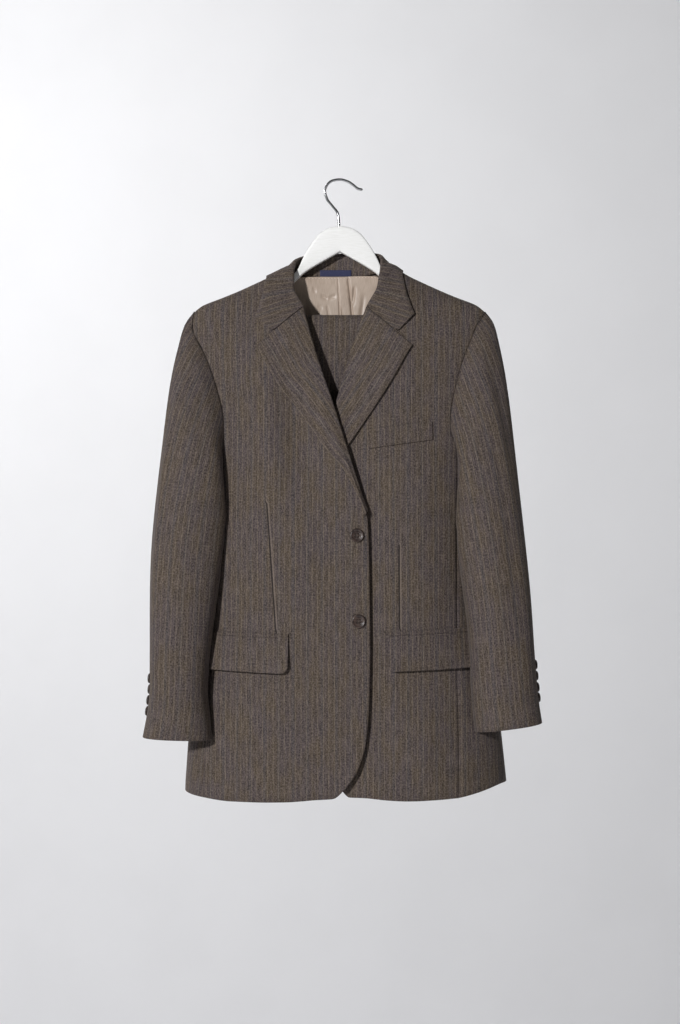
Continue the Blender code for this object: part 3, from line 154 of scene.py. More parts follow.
sleeve = {
    # height, inner, outer, centre y, depth, tilt
    "rings": {
        right: [
            (-520, 168, 277, -54, 82, 0.0), (-570, 173, 279, -56, 84, 0.0), (-630, 180, 280, -57, 86, 0.0),
            (-690, 190, 279, -58, 86, 0.0), (-755, 194, 279, -60, 84, 0.01), (-795, 190, 283, -61, 80, 0.02),
            (-827, 187, 289, -62, 76, 0.03),
        ],
        left: [
            (-520, 169, 270, -54, 82, 0.0), (-570, 174, 275, -56, 84, 0.0), (-630, 182, 281, -57, 86, 0.02),
            (-690, 190, 284, -58, 86, 0.04), (-755, 191, 289, -60, 84, 0.08), (-785, 194, 292, -61, 80, 0.10),
            (-811, 197, 296, -62, 76, 0.13),
        ],
    },
    # share of the armhole and the turn it runs down to
    "turns": [
        (0.0, 0), (0.12, 45), (0.25, 90), (0.33, 122), (0.375, 150), (0.417, 182), (0.458, 213),
        (0.5, 236), (0.542, 250), (0.6, 263), (0.7, 280), (0.8, 300), (0.9, 328), (1.0, 360),
    ],
    # height, spread and reach of the fullness in front of the armpit
    "armpit": {right: (-440, 52, 15), left: (-430, 52, 13)},
    "armholeGap": 0.7, "seam": 0.8, "columns": 24, "finer": 4,
    "forearmColumn": 11, "elbowColumn": 21, "ringsAbove": 7, "ringsBelow": 9,
}


def smooth(low, high, value):
    share = np.clip((np.asarray(value, float) - low) / (high - low), 0, 1)
    return share * share * (3 - 2 * share)


def unit(vectors):
    vectors = np.asarray(vectors, float)
    return vectors / np.maximum(np.linalg.norm(vectors, axis=-1, keepdims=True), 1e-9)


class Curve:
    # a smooth value through rows of (place, value) that never overshoots them
    def __init__(self, places, values):
        order = np.argsort(places)
        self.places = np.asarray(places, float)[order]
        self.values = np.asarray(values, float)[order]
        steps = np.diff(self.places)
        rises = np.diff(self.values) / steps
        self.slopes = np.zeros(len(self.values))
        self.slopes[0], self.slopes[-1] = rises[0], rises[-1]
        for i in range(1, len(self.values) - 1):
            if rises[i - 1] * rises[i] > 0:
                before, after = 2 * steps[i] + steps[i - 1], steps[i] + 2 * steps[i - 1]
                self.slopes[i] = (before + after) / (before / rises[i - 1] + after / rises[i])

    def __call__(self, place):
        place = np.clip(place, self.places[0], self.places[-1])
        i = np.clip(np.searchsorted(self.places, place) - 1, 0, len(self.places) - 2)
        step = self.places[i + 1] - self.places[i]
        t = (place - self.places[i]) / step
        return (self.values[i] * (1 + 2 * t) * (1 - t) ** 2 + self.values[i + 1] * t * t * (3 - 2 * t)
                + self.slopes[i] * step * t * (1 - t) ** 2 - self.slopes[i + 1] * step * t * t * (1 - t))


def along(points, shares):
    # points at shares of a smooth line's length
    points = np.asarray(points, float)
    lengths = np.concatenate([[0], np.cumsum(np.linalg.norm(np.diff(points, axis=0), axis=1))])
    lengths /= lengths[-1]
    return np.stack([Curve(lengths, points[:, k])(shares) for k in range(points.shape[1])], axis=-1)


def lineOf(points, count):
    return along(points, np.linspace(0, 1, count))


def curveOf(rows, k=1):
    # a smooth value from one entry of these rows against their first
    return Curve([r[0] for r in rows], [r[k] for r in rows])


heightsListed = np.arange(-940.0, -100.0, 1.0)
ringTable = {}
for place, word in enumerate(("centre", "halfWidth", "frontY", "sideY", "backY"), 1):
    ringTable[word] = curveOf(bodyForm["rings"], place)(heightsListed)
seamTable = {word: curveOf(bodyForm["sideSeams"], k)
             for k, word in ((1, ("front", right)), (2, ("front", left)), (3, "back"))}
edgeTable = {side: curveOf(openFront["edges"], sideColumn[side]) for side in (right, left)}
hemCurve = curveOf(openFront["hem"])


def ringAt(word, z):
    return np.interp(z, heightsListed, ringTable[word])


def bodyDepth(x, z, front):
    across = np.minimum(np.abs(x - ringAt("centre", z)) / ringAt("halfWidth", z), 1.0)
    roundness = np.where(front, bodyForm["frontRoundness"], bodyForm["backRoundness"])
    reach = (1 - across ** roundness) ** (1 / roundness)
    farY = np.where(front, ringAt("frontY", z), ringAt("backY", z))
    return ringAt("sideY", z) + (farY - ringAt("sideY", z)) * reach


def bodyValue(points):
    # below 0 inside the body's form, 0 on it and above 0 outside
    x, y, z = points[..., 0], points[..., 1], points[..., 2]
    sideY = ringAt("sideY", z)
    front = y < sideY
    farY = np.where(front, ringAt("frontY", z), ringAt("backY", z))
    roundness = np.where(front, bodyForm["frontRoundness"], bodyForm["backRoundness"])
    across = np.abs(x - ringAt("centre", z)) / ringAt("halfWidth", z)
    deep = np.abs(y - sideY) / np.abs(farY - sideY)
    return (across ** roundness + deep ** roundness) ** (1 / roundness) - 1


def bodySlope(points):
    points = np.asarray(points, float)
    slopes = np.zeros_like(points)
    for k in range(3):
        step = np.zeros(3)
        step[k] = 0.5
        slopes[..., k] = bodyValue(points + step) - bodyValue(points - step)
    return slopes


def clearOfBody(points, room):
    # moves points out until they are this far from the body's outer face
    points = np.array(points, float)
    for _ in range(10):
        slope = bodySlope(points)
        steep = np.maximum(np.linalg.norm(slope, axis=-1), 1e-6)
        short = np.maximum(room - bodyValue(points) / steep, 0)
        points += slope / steep[..., None] * short[..., None]
    return points


def shoulderHeight(across):
    low, high = -215.0, -124.0
    for _ in range(40):
        middle = (low + high) / 2
        if ringAt("halfWidth", middle) > across:
            low = middle
        else:
            high = middle
    return (low + high) / 2


def foldDepth(x, z, folds):
    total = np.zeros(np.broadcast(x, z).shape)
    for x0, z0, x1, z1, width, depth in folds:
        run = np.array([x1 - x0, z1 - z0])
        share = np.clip(((x - x0) * run[0] + (z - z0) * run[1]) / np.dot(run, run), 0, 1)
        off = np.hypot(x - x0 - run[0] * share, z - z0 - run[1] * share) / width
        total = total + depth * np.sin(np.pi * share) ** 0.5 * np.exp(-off * off)
    return total


def frontShift(x, z, side):
    shift = foldDepth(x, z, openFront["folds"]) + foldDepth(x, z, openFront["creases"])
    if side == right:
        return shift - 4.0 * smooth(-60, 30, x) * smooth(-150, -260, z)
    return shift + 11.0 * smooth(85, 5, x) * smooth(-180, -320, z)


def frontFace(x, z, side):
    base = np.stack([x, bodyDepth(x, z, True), z], axis=-1)
    normal = unit(bodySlope(base))
    face = base.copy()
    face[..., 1] += frontShift(x, z, side)
    return face, normal


def linear(text):
    # sRGB hex to the linear values that the shader works in
    values = [int(text[i:i + 2], 16) / 255 for i in (0, 2, 4)]
    return [v / 12.92 if v <= 0.04045 else ((v + 0.055) / 1.055) ** 2.4 for v in values] + [1.0]


def addNode(tree, kind, settings, out=0):
    # one node: each setting is a property, an input's value or hex colour, or an output to link to an input
    node = tree.nodes.new(kind)
    for key, value in settings.items():
        if isinstance(key, str) and hasattr(node, key):
            setattr(node, key, value)
        elif isinstance(value, bpy.types.NodeSocket):
            tree.links.new(value, node.inputs[key])
        else:
            node.inputs[key].default_value = linear(value) if isinstance(value, str) else value
    return node.outputs[out]


def newMaterial(name, values):
    made = bpy.data.materials.new(name)
    made.use_nodes = True
    for key, value in values.items():
        made.node_tree.nodes["Principled BSDF"].inputs[key].default_value = value
    return made, made.node_tree


def shaded(made, sockets):
    # the material, once these outputs run into its shader
    for key, source in sockets.items():
        made.node_tree.links.new(source, made.node_tree.nodes["Principled BSDF"].inputs[key])
    return made


# kinds of node, and settings that many of them share
maths, mix, ramp, noise = "ShaderNodeMath", "ShaderNodeMix", "ShaderNodeMapRange", "ShaderNodeTexNoise"
mapping, bump = "ShaderNodeMapping", "ShaderNodeBump"
colours, softly = {"data_type": "RGBA"}, {"interpolation_type": "SMOOTHSTEP"}

woolLook = {
    # shade and light are the dark and pale yarns' tones, and also the painted shade and painted highlight
    # along the dart seams
    "cool": "4c4346", "warm": "524639", "shade": "221d1c", "light": "82756d", "stripe": "94856f",
    "coolStripe": "4a494d",
    # pinstripes every 8.1 mm, warm and cool bands every 21 mm
    "stripePitch": 8.1, "stripeWide": 1.05, "stripeStrength": 0.36, "broadPitch": 21.0,
    # real twill runs 0.7 mm from rib to rib, drawn at 2.0 mm so that it shows at all
    "twillPitch": 2.0, "boneWide": 9.0,
    # real yarns are 0.35 mm wide, drawn as flecks 2.2 mm wide and 3 mm long
    "fleck": (0.45, 0.32, 1), "streak": (0.4, 0.045, 1), "cloud": (0.045, 0.014, 1),
}


def woolTwill():
    # worsted wool, woven in broken twill and pressed: matt and slightly hairy, with pale pinstripes that the
    # twill breaks up, and warm and cool yarns that change its tone across the cloth
    look = woolLook
    made, tree = newMaterial("worsted wool, woven and pressed", {
        "Roughness": 0.82, "Specular IOR Level": 0.28, "Sheen Weight": 0.15, "Sheen Roughness": 0.45,
        "Sheen Tint": linear("dcd2cc")})
    grain = addNode(tree, "ShaderNodeUVMap", {"uv_map": "grain"})
    place = addNode(tree, mapping, {"Vector": grain, "Scale": (1000, 1000, 1000)})
    parts = addNode(tree, "ShaderNodeSeparateXYZ", {0: place}, slice(None))
    stripe = addNode(tree, maths, {"operation": "PINGPONG", 0: parts[0], 1: look["stripePitch"] / 2})
    stripe = addNode(tree, ramp, {
        **softly, 0: stripe, 1: 0.1, 2: look["stripeWide"], 3: look["stripeStrength"], 4: 0.0})
    band = addNode(tree, maths, {"operation": "ADD", 0: parts[0], 1: look["broadPitch"] / 4})
    band = addNode(tree, maths, {"operation": "PINGPONG", 0: band, 1: look["broadPitch"] / 2})
    band = addNode(tree, ramp, {**softly, 0: band, 1: 0.5, 2: 3.4, 3: 0.5, 4: 0.0})
    flecks = addNode(tree, mapping, {"Vector": place, "Scale": look["fleck"]})
    dark = addNode(tree, noise, {"Vector": flecks, "Scale": 1.0, "Detail": 2.0, "Roughness": 0.6})
    aside = addNode(tree, mapping, {"Vector": flecks, "Location": (40, 90, 0)})
    light = addNode(tree, noise, {"Vector": aside, "Scale": 1.25, "Detail": 2.0, "Roughness": 0.6})
    # the twill's ribs turn over every few millimetres, as a herringbone does
    ribs = addNode(tree, maths, {"operation": "PINGPONG", 0: parts[0], 1: look["boneWide"]})
    ribs = addNode(tree, maths, {"operation": "ADD", 0: ribs, 1: parts[1]})
    ribs = addNode(tree, maths, {"operation": "MULTIPLY", 0: ribs, 1: fullTurn / look["twillPitch"]})
    ribs = addNode(tree, maths, {"operation": "SINE", 0: ribs})
    streaks = addNode(tree, mapping, {"Vector": place, "Scale": look["streak"]})
    streaks = addNode(tree, noise, {"Vector": streaks, "Scale": 1.0, "Detail": 2.0, "Roughness": 0.6})
    cloud = addNode(tree, mapping, {"Vector": place, "Scale": look["cloud"]})
    cloud = addNode(tree, noise, {"Vector": cloud, "Scale": 1.0, "Detail": 3.0, "Roughness": 0.6})
    colour = addNode(tree, ramp, {**softly, 0: cloud, 1: 0.36, 2: 0.64})
    colour = addNode(tree, mix, {**colours, 0: colour, 6: look["cool"], 7: look["warm"]}, 2)
    for share, low, high, least, most, tone in (
            (band, 0.0, 1.0, 0.0, 1.0, "coolStripe"), (streaks, 0.5, 0.32, 0.0, 0.5, "shade"),
            (streaks, 0.5, 0.7, 0.0, 0.42, "light"), (stripe, 0.0, 1.0, 0.0, 1.0, "stripe"),
            (ribs, -1.0, 1.0, 0.0, 0.08, "shade"),
            (dark, 0.4, 0.62, 0.0, 0.5, "shade"), (light, 0.45, 0.64, 0.0, 0.45, "light")):
        share = addNode(tree, ramp, {0: share, 1: low, 2: high, 3: least, 4: most})
        colour = addNode(tree, mix, {**colours, 0: share, 6: colour, 7: look[tone]}, 2)
    # a dart's seam: painted shade as a dark line along it, and a painted highlight beside it where the
    # pressed edge would catch the light
    seam = addNode(tree, "ShaderNodeAttribute", {"attribute_name": "seam"}, "Fac")
    for middle, reach, most, tone in ((0.998, 0.016, 0.95, "shade"), (1.022, 0.015, 0.5, "light")):
        share = addNode(tree, maths, {"operation": "SUBTRACT", 0: seam, 1: middle})
        share = addNode(tree, maths, {"operation": "ABSOLUTE", 0: share})
        share = addNode(tree, ramp, {**softly, 0: share, 1: 0.003, 2: reach, 3: most, 4: 0.0})
        colour = addNode(tree, mix, {**colours, 0: share, 6: colour, 7: look[tone]}, 2)
    height = addNode(tree, maths, {"operation": "MULTIPLY_ADD", 0: ribs, 1: 0.3, 2: light})
    return shaded(made, {"Base Color": colour, "Normal": addNode(tree, bump, {
        "Height": height, "Strength": 0.4, "Distance": 0.0004})})


def satinLining():
    # viscose satin: long loose yarns that lie flat, so it gleams softly across the cloth
    made, tree = newMaterial("viscose satin, woven and ironed", {
        "Roughness": 0.42, "Specular IOR Level": 0.55, "Sheen Weight": 0.1})
    grain = addNode(tree, "ShaderNodeUVMap", {"uv_map": "grain"})
    # yarns of 0.15 mm are drawn 0.9 mm wide, with clouds of tone about 30 mm across
    yarns = addNode(tree, mapping, {"Vector": grain, "Scale": (1100, 90, 1)})
    yarns = addNode(tree, noise, {"Vector": yarns, "Scale": 1.0, "Detail": 2.0})
    cloud = addNode(tree, noise, {"Vector": grain, "Scale": 30.0, "Detail": 2.0})
    share = addNode(tree, ramp, {**softly, 0: yarns, 1: 0.3, 2: 0.7})
    colour = addNode(tree, mix, {**colours, 0: share, 6: "b8a595", 7: "a89585"}, 2)
    share = addNode(tree, ramp, {**softly, 0: cloud, 1: 0.35, 2: 0.7, 4: 0.35})
    colour = addNode(tree, mix, {**colours, 0: share, 6: colour, 7: "cdbdae"}, 2)
    return shaded(made, {"Base Color": colour, "Normal": addNode(tree, bump, {
        "Height": yarns, "Strength": 0.12, "Distance": 0.0003})})


def ribbonLabel():
    # polyester ribbon: ribbed across and a little shiny
    made, tree = newMaterial("polyester ribbon, woven", {"Roughness": 0.55, "Sheen Weight": 0.1})
    grain = addNode(tree, "ShaderNodeUVMap", {"uv_map": "grain"})
    upward = addNode(tree, "ShaderNodeSeparateXYZ", {0: grain}, 1)
    # ribs of 0.4 mm, drawn at 1.0 mm
    ribs = addNode(tree, maths, {"operation": "MULTIPLY", 0: upward, 1: fullTurn / 0.001})
    ribs = addNode(tree, maths, {"operation": "SINE", 0: ribs})
    yarns = addNode(tree, noise, {"Vector": grain, "Scale": 1400.0, "Detail": 2.0})
    share = addNode(tree, ramp, {**softly, 0: yarns, 1: 0.3, 2: 0.7})
    colour = addNode(tree, mix, {**colours, 0: share, 6: "161c40", 7: "232b56"}, 2)
    return shaded(made, {"Base Color": colour, "Normal": addNode(tree, bump, {
        "Height": ribs, "Strength": 0.3, "Distance": 0.0003})})


def solidFinish(name, values, mottle, tones, roughness=None, relief=None):
    # a finish on Object coordinates: its mottle runs between two tones, and shows in its gloss or relief too
    made, tree = newMaterial(name, values)
    place = addNode(tree, "ShaderNodeTexCoord", {}, "Object")
    spots = addNode(tree, mapping, {"Vector": place, "Scale": mottle})
    spots = addNode(tree, noise, {"Vector": spots, "Scale": 1.0, "Detail": 3.0})
    share = addNode(tree, ramp, {**softly, 0: spots, 1: 0.33, 2: 0.68})
    sockets = {"Base Color": addNode(tree, mix, {**colours, 0: share, 6: tones[0], 7: tones[1]}, 2)}
    if roughness:
        sockets["Roughness"] = addNode(tree, ramp, {
            0: spots, 1: 0.3, 2: 0.7, 3: roughness[0], 4: roughness[1]})
    if relief:
        sockets["Normal"] = addNode(tree, bump, {"Height": spots, "Strength": relief, "Distance": 0.0002})
    return shaded(made, sockets)


suitCloth, satin, labelCloth = woolTwill(), satinLining(), ribbonLabel()
# cast polyester resin: clouded like horn, clouds 6 mm across, with a soft shine
resin = solidFinish("polyester resin, turned and tumbled", {"IOR": 1.55}, (170, 170, 170),
                    ("2c2220", "4c3c35"), roughness=(0.26, 0.42))
# beech under satin paint: smooth white, its pores 1 mm apart and 12 mm long just felt along the arms
paintedWood = solidFinish("beech, sanded and sprayed white", {
    "Roughness": 0.36, "Coat Weight": 0.15, "Coat Roughness": 0.3}, (80, 900, 900), ("fdfdfc", "f6f6f4"),
    relief=0.1)
# bright plated steel, with faint marks of the die 0.7 mm apart
chromeWire = solidFinish("steel wire, drawn and chromed", {"Metallic": 1.0}, (1400, 1400, 1400),
                         ("cfd0d2", "b4b5b8"), roughness=(0.1, 0.24))
# cotton-wrapped polyester: matt, with its twist as fine marks of about 0.5 mm
thread = solidFinish("polyester thread, twisted", {"Roughness": 0.7, "Sheen Weight": 0.2},
                     (2200, 2200, 2200), ("6a5d54", "4a403a"))
# filament silk: smoother, so it glints
paleThread = solidFinish("silk thread, twisted", {"Roughness": 0.5, "Sheen Weight": 0.2},
                         (2200, 2200, 2200), ("efe6da", "dccdbb"))
print("materials made")


def linked(name, data):
    made = bpy.data.objects.new(name, data)
    bpy.context.scene.collection.objects.link(made)
    return made


def evaluatedMesh(made):
    return bpy.data.meshes.new_from_object(made.evaluated_get(bpy.context.evaluated_depsgraph_get()))


def circle(across, upward, radius, count):
    turns = np.linspace(0, fullTurn, count, endpoint=False)[:, None]
    return (across * np.cos(turns) + upward * np.sin(turns)) * radius


def meshFrom(name, points, faces, uvs, materials):
    # a mesh with its faces turned outwards and its grain written as UVs in metres
    points = np.asarray(points, float)
    corners = [(f[0], f[k], f[k + 1]) for f in faces for k in range(1, len(f) - 1)]
    tris = points[np.array(corners)]
    volume = np.einsum("ij,ij->i", tris[:, 0], np.cross(tris[:, 1], tris[:, 2])).sum()
    if volume < 0:
        faces = [tuple(reversed(f)) for f in faces]
    mesh = bpy.data.meshes.new(name)
    mesh.from_pydata((points * 0.001).tolist(), [], faces)
    if uvs is not None:
        layer = mesh.uv_layers.new(name="grain")
        loopVertices = np.zeros(len(mesh.loops), int)
        mesh.loops.foreach_get("vertex_index", loopVertices)
        layer.data.foreach_set("uv", (np.asarray(uvs)[loopVertices] * 0.001).ravel())
    for entry in materials:
        mesh.materials.append(entry)
    mesh.shade_smooth()
    return linked(name, mesh)


def gridNormals(grid, closed=False):
    down = np.gradient(grid, axis=0)
    if closed:
        across = np.roll(grid, -1, axis=1) - np.roll(grid, 1, axis=1)
    else:
        across = np.gradient(grid, axis=1)
    return unit(np.cross(across, down))


def outwardNormals(grid):
    # normals that point out of a closed sleeve
    normals = gridNormals(grid, closed=True)
    inward = np.sum((grid - grid.mean(axis=1, keepdims=True)) * normals) < 0
    return -normals if inward else normals


def rimOut(grid):
    # how each border point of a grid looks away from the cloth
    away = np.zeros_like(grid)
    away[0] += unit(grid[0] - grid[1])
    away[-1] += unit(grid[-1] - grid[-2])
    away[:, 0] += unit(grid[:, 0] - grid[:, 1])
    away[:, -1] += unit(grid[:, -1] - grid[:, -2])
    return away


def wall(name, outer, inner, grain, materials, bulge=0.3, seam=None):
    # a closed cloth wall between two grids, with softly turned edges
    rows, cols = outer.shape[:2]
    away = rimOut(outer)
    thick = np.linalg.norm(outer - inner, axis=-1, keepdims=True)
    centre = (outer + inner) / 2 + away * thick * bulge
    points = [outer.reshape(-1, 3), inner.reshape(-1, 3)]
    back = rows * cols
    rim = [(0, c) for c in range(cols)]
    rim += [(r, cols - 1) for r in range(1, rows)]
    rim += [(rows - 1, c) for c in range(cols - 2, -1, -1)]
    rim += [(r, 0) for r in range(rows - 2, 0, -1)]
    faces = []
    for r in range(rows - 1):
        for c in range(cols - 1):
            a = r * cols + c
            quad = (a, a + 1, a + cols + 1, a + cols)
            faces.append(quad)
            faces.append(tuple(back + i for i in reversed(quad)))
    points.append(np.array([centre[r, c] for r, c in rim]))
    for i in range(len(rim)):
        j = (i + 1) % len(rim)
        a, b = rim[i][0] * cols + rim[i][1], rim[j][0] * cols + rim[j][1]
        m, n = 2 * back + i, 2 * back + j
        faces.append((b, a, m, n))
        faces.append((n, m, back + a, back + b))
    flat = grain.reshape(-1, 2)
    rimGrain = np.array([grain[r, c] for r, c in rim])
    made = meshFrom(name, np.concatenate(points), faces, np.concatenate([flat, flat, rimGrain]), materials)
    if seam is not None:
        values = np.concatenate([seam.ravel(), seam.ravel(), [seam[r, c] for r, c in rim]])
        made.data.attributes.new("seam", "FLOAT", "POINT").data.foreach_set("value", values)
    return made


def tube(name, outer, inner, grain, materials):
    # a closed wall from rings of points, open at both ends
    rows, cols = outer.shape[:2]
    faces = []
    back = rows * cols
    for r in range(rows - 1):
        for c in range(cols):
            d = (c + 1) % cols
            quad = (r * cols + c, r * cols + d, (r + 1) * cols + d, (r + 1) * cols + c)
            faces.append(quad)
            faces.append(tuple(back + i for i in reversed(quad)))
    for r in (0, rows - 1):
        for c in range(cols):
            a, b = r * cols + c, r * cols + (c + 1) % cols
            rim = (b, a, back + a, back + b)
            faces.append(rim if r == 0 else tuple(reversed(rim)))
    flat = grain.reshape(-1, 2)
    points = np.concatenate([outer.reshape(-1, 3), inner.reshape(-1, 3)])
    return meshFrom(name, points, faces, np.concatenate([flat, flat]), materials)


def loft(name, rings, materials, grain=None):
    # a solid from closed rings, with closed ends
    rings = np.asarray(rings, float)
    count = rings.shape[1]
    faces = []
    for r in range(len(rings) - 1):
        for c in range(count):
            d = (c + 1) % count
            faces.append((r * count + c, r * count + d, (r + 1) * count + d, (r + 1) * count + c))
    faces.append(tuple(reversed(range(count))))
    last = (len(rings) - 1) * count
    faces.append(tuple(last + c for c in range(count)))
    return meshFrom(name, rings.reshape(-1, 3), faces, grain, materials)


def settle(made, nodes):
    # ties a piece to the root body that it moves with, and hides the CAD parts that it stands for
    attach(made, "root")
    if nodes:
        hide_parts(*nodes)
    return made


panelCut = {
    # rows below the waist, up to the armhole and round it, then columns
    "front": (26, 20, 44, 64), "back": (22, 16, 36, 44), "side": (40, 24),
    "seamStage": -600, "closing": 1.7, "shoulderStart": 14, "sideHemTurn": 238,
    # a dart's width and depth
    "dart": (5, 0.9),
}


def seamHeights(hem, top, low, middle):
    stage = panelCut["seamStage"]
    return np.concatenate([hem + (stage - hem) * np.arange(low) / low,
                           stage + (top - stage) * np.arange(middle) / middle, [top]])


def closingShares(count):
    return 1 - (1 - np.arange(1, count + 1) / count) ** panelCut["closing"]


def edgeRows(points, hem, top, counts):
    place = Curve([p[1] for p in points], [p[0] for p in points])
    heights = seamHeights(hem, top, counts[0], counts[1])
    lower = np.stack([place(heights), heights], axis=-1)
    upper = [(float(place(top)), top)] + [p for p in points if p[1] > top + 1]
    return np.concatenate([lower, along(upper, closingShares(counts[2]))])


def seamRows(side, which, hem, top, armhole, counts):
    heights = seamHeights(hem, top, counts[0], counts[1])
    x = ringAt("centre", heights) + side * (seamTable[which](heights) - seamGap / 2)
    upper = [(side * (a - seamGap / 2), z) for a, z in armhole]
    return np.concatenate([np.stack([x, heights], axis=-1), along(upper, closingShares(counts[2]))])


def patch(bottom, top, inner, outer):
    # fills four meeting border lines with a grid
    t = np.linspace(0, 1, len(inner))[:, None, None]
    s = np.linspace(0, 1, len(bottom))[None, :, None]
    edges = (1 - t) * bottom[None] + t * top[None] + (1 - s) * inner[:, None] + s * outer[:, None]
    return edges - ((1 - s) * (1 - t) * bottom[0] + s * (1 - t) * bottom[-1]
                    + (1 - s) * t * top[0] + s * t * top[-1])


def grainOf(grid):
    # u runs level across the cloth and v up it, so the stripes hang straight
    steps = np.hypot(np.diff(grid[..., 0], axis=1), np.diff(grid[..., 1], axis=1))
    way = 1 if grid[0, -1, 0] > grid[0, 0, 0] else -1
    u = np.concatenate([np.zeros((len(grid), 1)), np.cumsum(steps, axis=1)], axis=1) * way + grid[:, :1, 0]
    return np.stack([u, grid[..., 2]], axis=-1)


def crestTo(neckPoint, tip):
    crest = []
    for share in (0.25, 0.5, 0.75, 0.9):
        x = neckPoint[0] + (tip[0] - neckPoint[0]) * share
        crest.append((x, shoulderHeight(abs(x))))
    return crest


def shoulderEdge(points, normals, side, facing):
    # brings the row that the front and back share onto the shoulder line, from the collar outwards
    share = smooth(0, panelCut["shoulderStart"], side * (points[:, 0] - openFront["neckPoint"][side][0]))
    points[:, 1] += (ringAt("sideY", points[:, 2]) - points[:, 1]) * share + facing * seamGap / 2
    normals[:, 1] *= 1 - share
    return points, unit(normals)


def sideLine(rows, side):
    # x and z of a line listed by height for both sides
    return [(r[sideColumn[side]], r[0]) for r in rows]


def frontPanel(side):
    counts = panelCut["front"]
    top = bodyForm["frontArmhole"][-1][0]
    innerLine = sideLine(openFront["edges"], side)
    innerLine[-1] = openFront["neckPoint"][side]
    start = innerLine[0]
    seam = seamTable["front", side](openFront["sideHem"]) - seamGap / 2
    hemEnd = float(ringAt("centre", openFront["backHem"]) + side * seam)
    innerRows = edgeRows(innerLine, start[1], top, counts)
    armhole = sideLine(bodyForm["frontArmhole"][::-1], side)
    outerRows = seamRows(side, ("front", side), float(hemCurve(hemEnd)), top, armhole, counts)
    hem = [start[0] + (hemEnd - start[0]) * s for s in (0.08, 0.2, 0.4, 0.6, 0.8)]
    hem = [start] + [(x, float(hemCurve(x))) for x in hem] + [tuple(outerRows[0])]
    neckPoint, tip = openFront["neckPoint"][side], tuple(outerRows[-1])
    crest = [neckPoint] + crestTo(neckPoint, tip) + [tip]
    grid = patch(lineOf(hem, counts[3]), lineOf(crest, counts[3]), innerRows, outerRows)
    outer, normal = frontFace(grid[..., 0], grid[..., 1], side)
    outer[-1], normal[-1] = shoulderEdge(outer[-1], normal[-1], side, -1)
    x0, z0, x1, z1 = openFront["darts"][side]
    x, z = grid[..., 0], grid[..., 1]
    outer = outer - normal * foldDepth(x, z, [(x0, z0, x1, z1, *panelCut["dart"])])[..., None]
    # where the dart's painted seam shade and painted highlight fall: 1 on the dart's seam, and less or more
    # beside it and past its ends
    away = x - x0 - (x1 - x0) * (z - z0) / (z1 - z0)
    seam = 1 + (away + np.sign(away) * np.maximum(np.maximum(z - z0, z1 - z), 0)) / 100
    inner = outer - normal * cloth["front"]
    return wall("frontPanel_" + sideWord[side], outer, inner, grainOf(outer), [suitCloth], seam=seam)


def backPanel(side):
    counts = panelCut["back"]
    top = bodyForm["backArmhole"][-1][0]
    neckMiddle = neck["backEdge"][3]

    def centre(z):
        return float(neckMiddle[0] * smooth(-300, -144, z) + ringAt("centre", z) + side * seamGap / 2)

    hemHeight = openFront["backHem"]
    innerLine = [(centre(z), z) for z in (hemHeight, -800, -700, -600, -500, top, -300, -200, -144)]
    innerRows = edgeRows(innerLine, hemHeight, top, counts)
    armhole = sideLine(bodyForm["backArmhole"][::-1], side)
    outerRows = seamRows(side, "back", hemHeight, top, armhole, counts)
    hem = [tuple(innerRows[0]), tuple((innerRows[0] + outerRows[0]) / 2), tuple(outerRows[0])]
    crest = [tuple(innerRows[-1])]
    crest += sorted([p for p in neck["backEdge"] if (p[0] - neckMiddle[0]) * side > 1],
                    key=lambda p: side * p[0])
    tip = tuple(outerRows[-1])
    crest += crestTo(crest[-1], tip) + [tip]
    grid = patch(lineOf(hem, counts[3]), lineOf(crest, counts[3]), innerRows, outerRows)
    x, z = grid[..., 0], grid[..., 1]
    outer = np.stack([x, bodyDepth(x, z, False), z], axis=-1)
    normal = unit(bodySlope(outer))
    outer[-1], normal[-1] = shoulderEdge(outer[-1], normal[-1], side, 1)
    outer = outer - normal * foldDepth(x, z, backCreases[side])[..., None]
    inner = outer - normal * cloth["back"]
    return wall("backPanel_" + sideWord[side], outer, inner, grainOf(outer), [suitCloth])


backCreases = {
    # x and z at both ends, width, depth: troughs above 0 and ridges below 0
    right: [(-30, -190, -150, -215, 12, 0.9), (-170, -250, -168, -400, 12, 1.3),
            (-120, -300, -112, -520, 16, -0.8), (-60, -560, -66, -760, 16, 0.9),
            (-150, -600, -158, -860, 14, 0.8), (-20, -420, -16, -620, 10, 0.6)],
    left: [(24, -186, 150, -216, 12, 0.9), (168, -246, 170, -398, 12, 1.3), (116, -310, 108, -540, 16, -0.8),
           (70, -590, 78, -800, 15, 0.9), (150, -640, 160, -880, 14, 0.8), (28, -450, 22, -640, 10, 0.6)],
}


def ringAngle(across, z, front):
    roundness = np.where(front, bodyForm["frontRoundness"], bodyForm["backRoundness"])
    share = np.minimum(across / ringAt("halfWidth", z), 1.0)
    angle = np.arcsin(np.minimum(share ** (roundness / 2), 1.0))
    return np.where(front, angle, np.pi - angle)


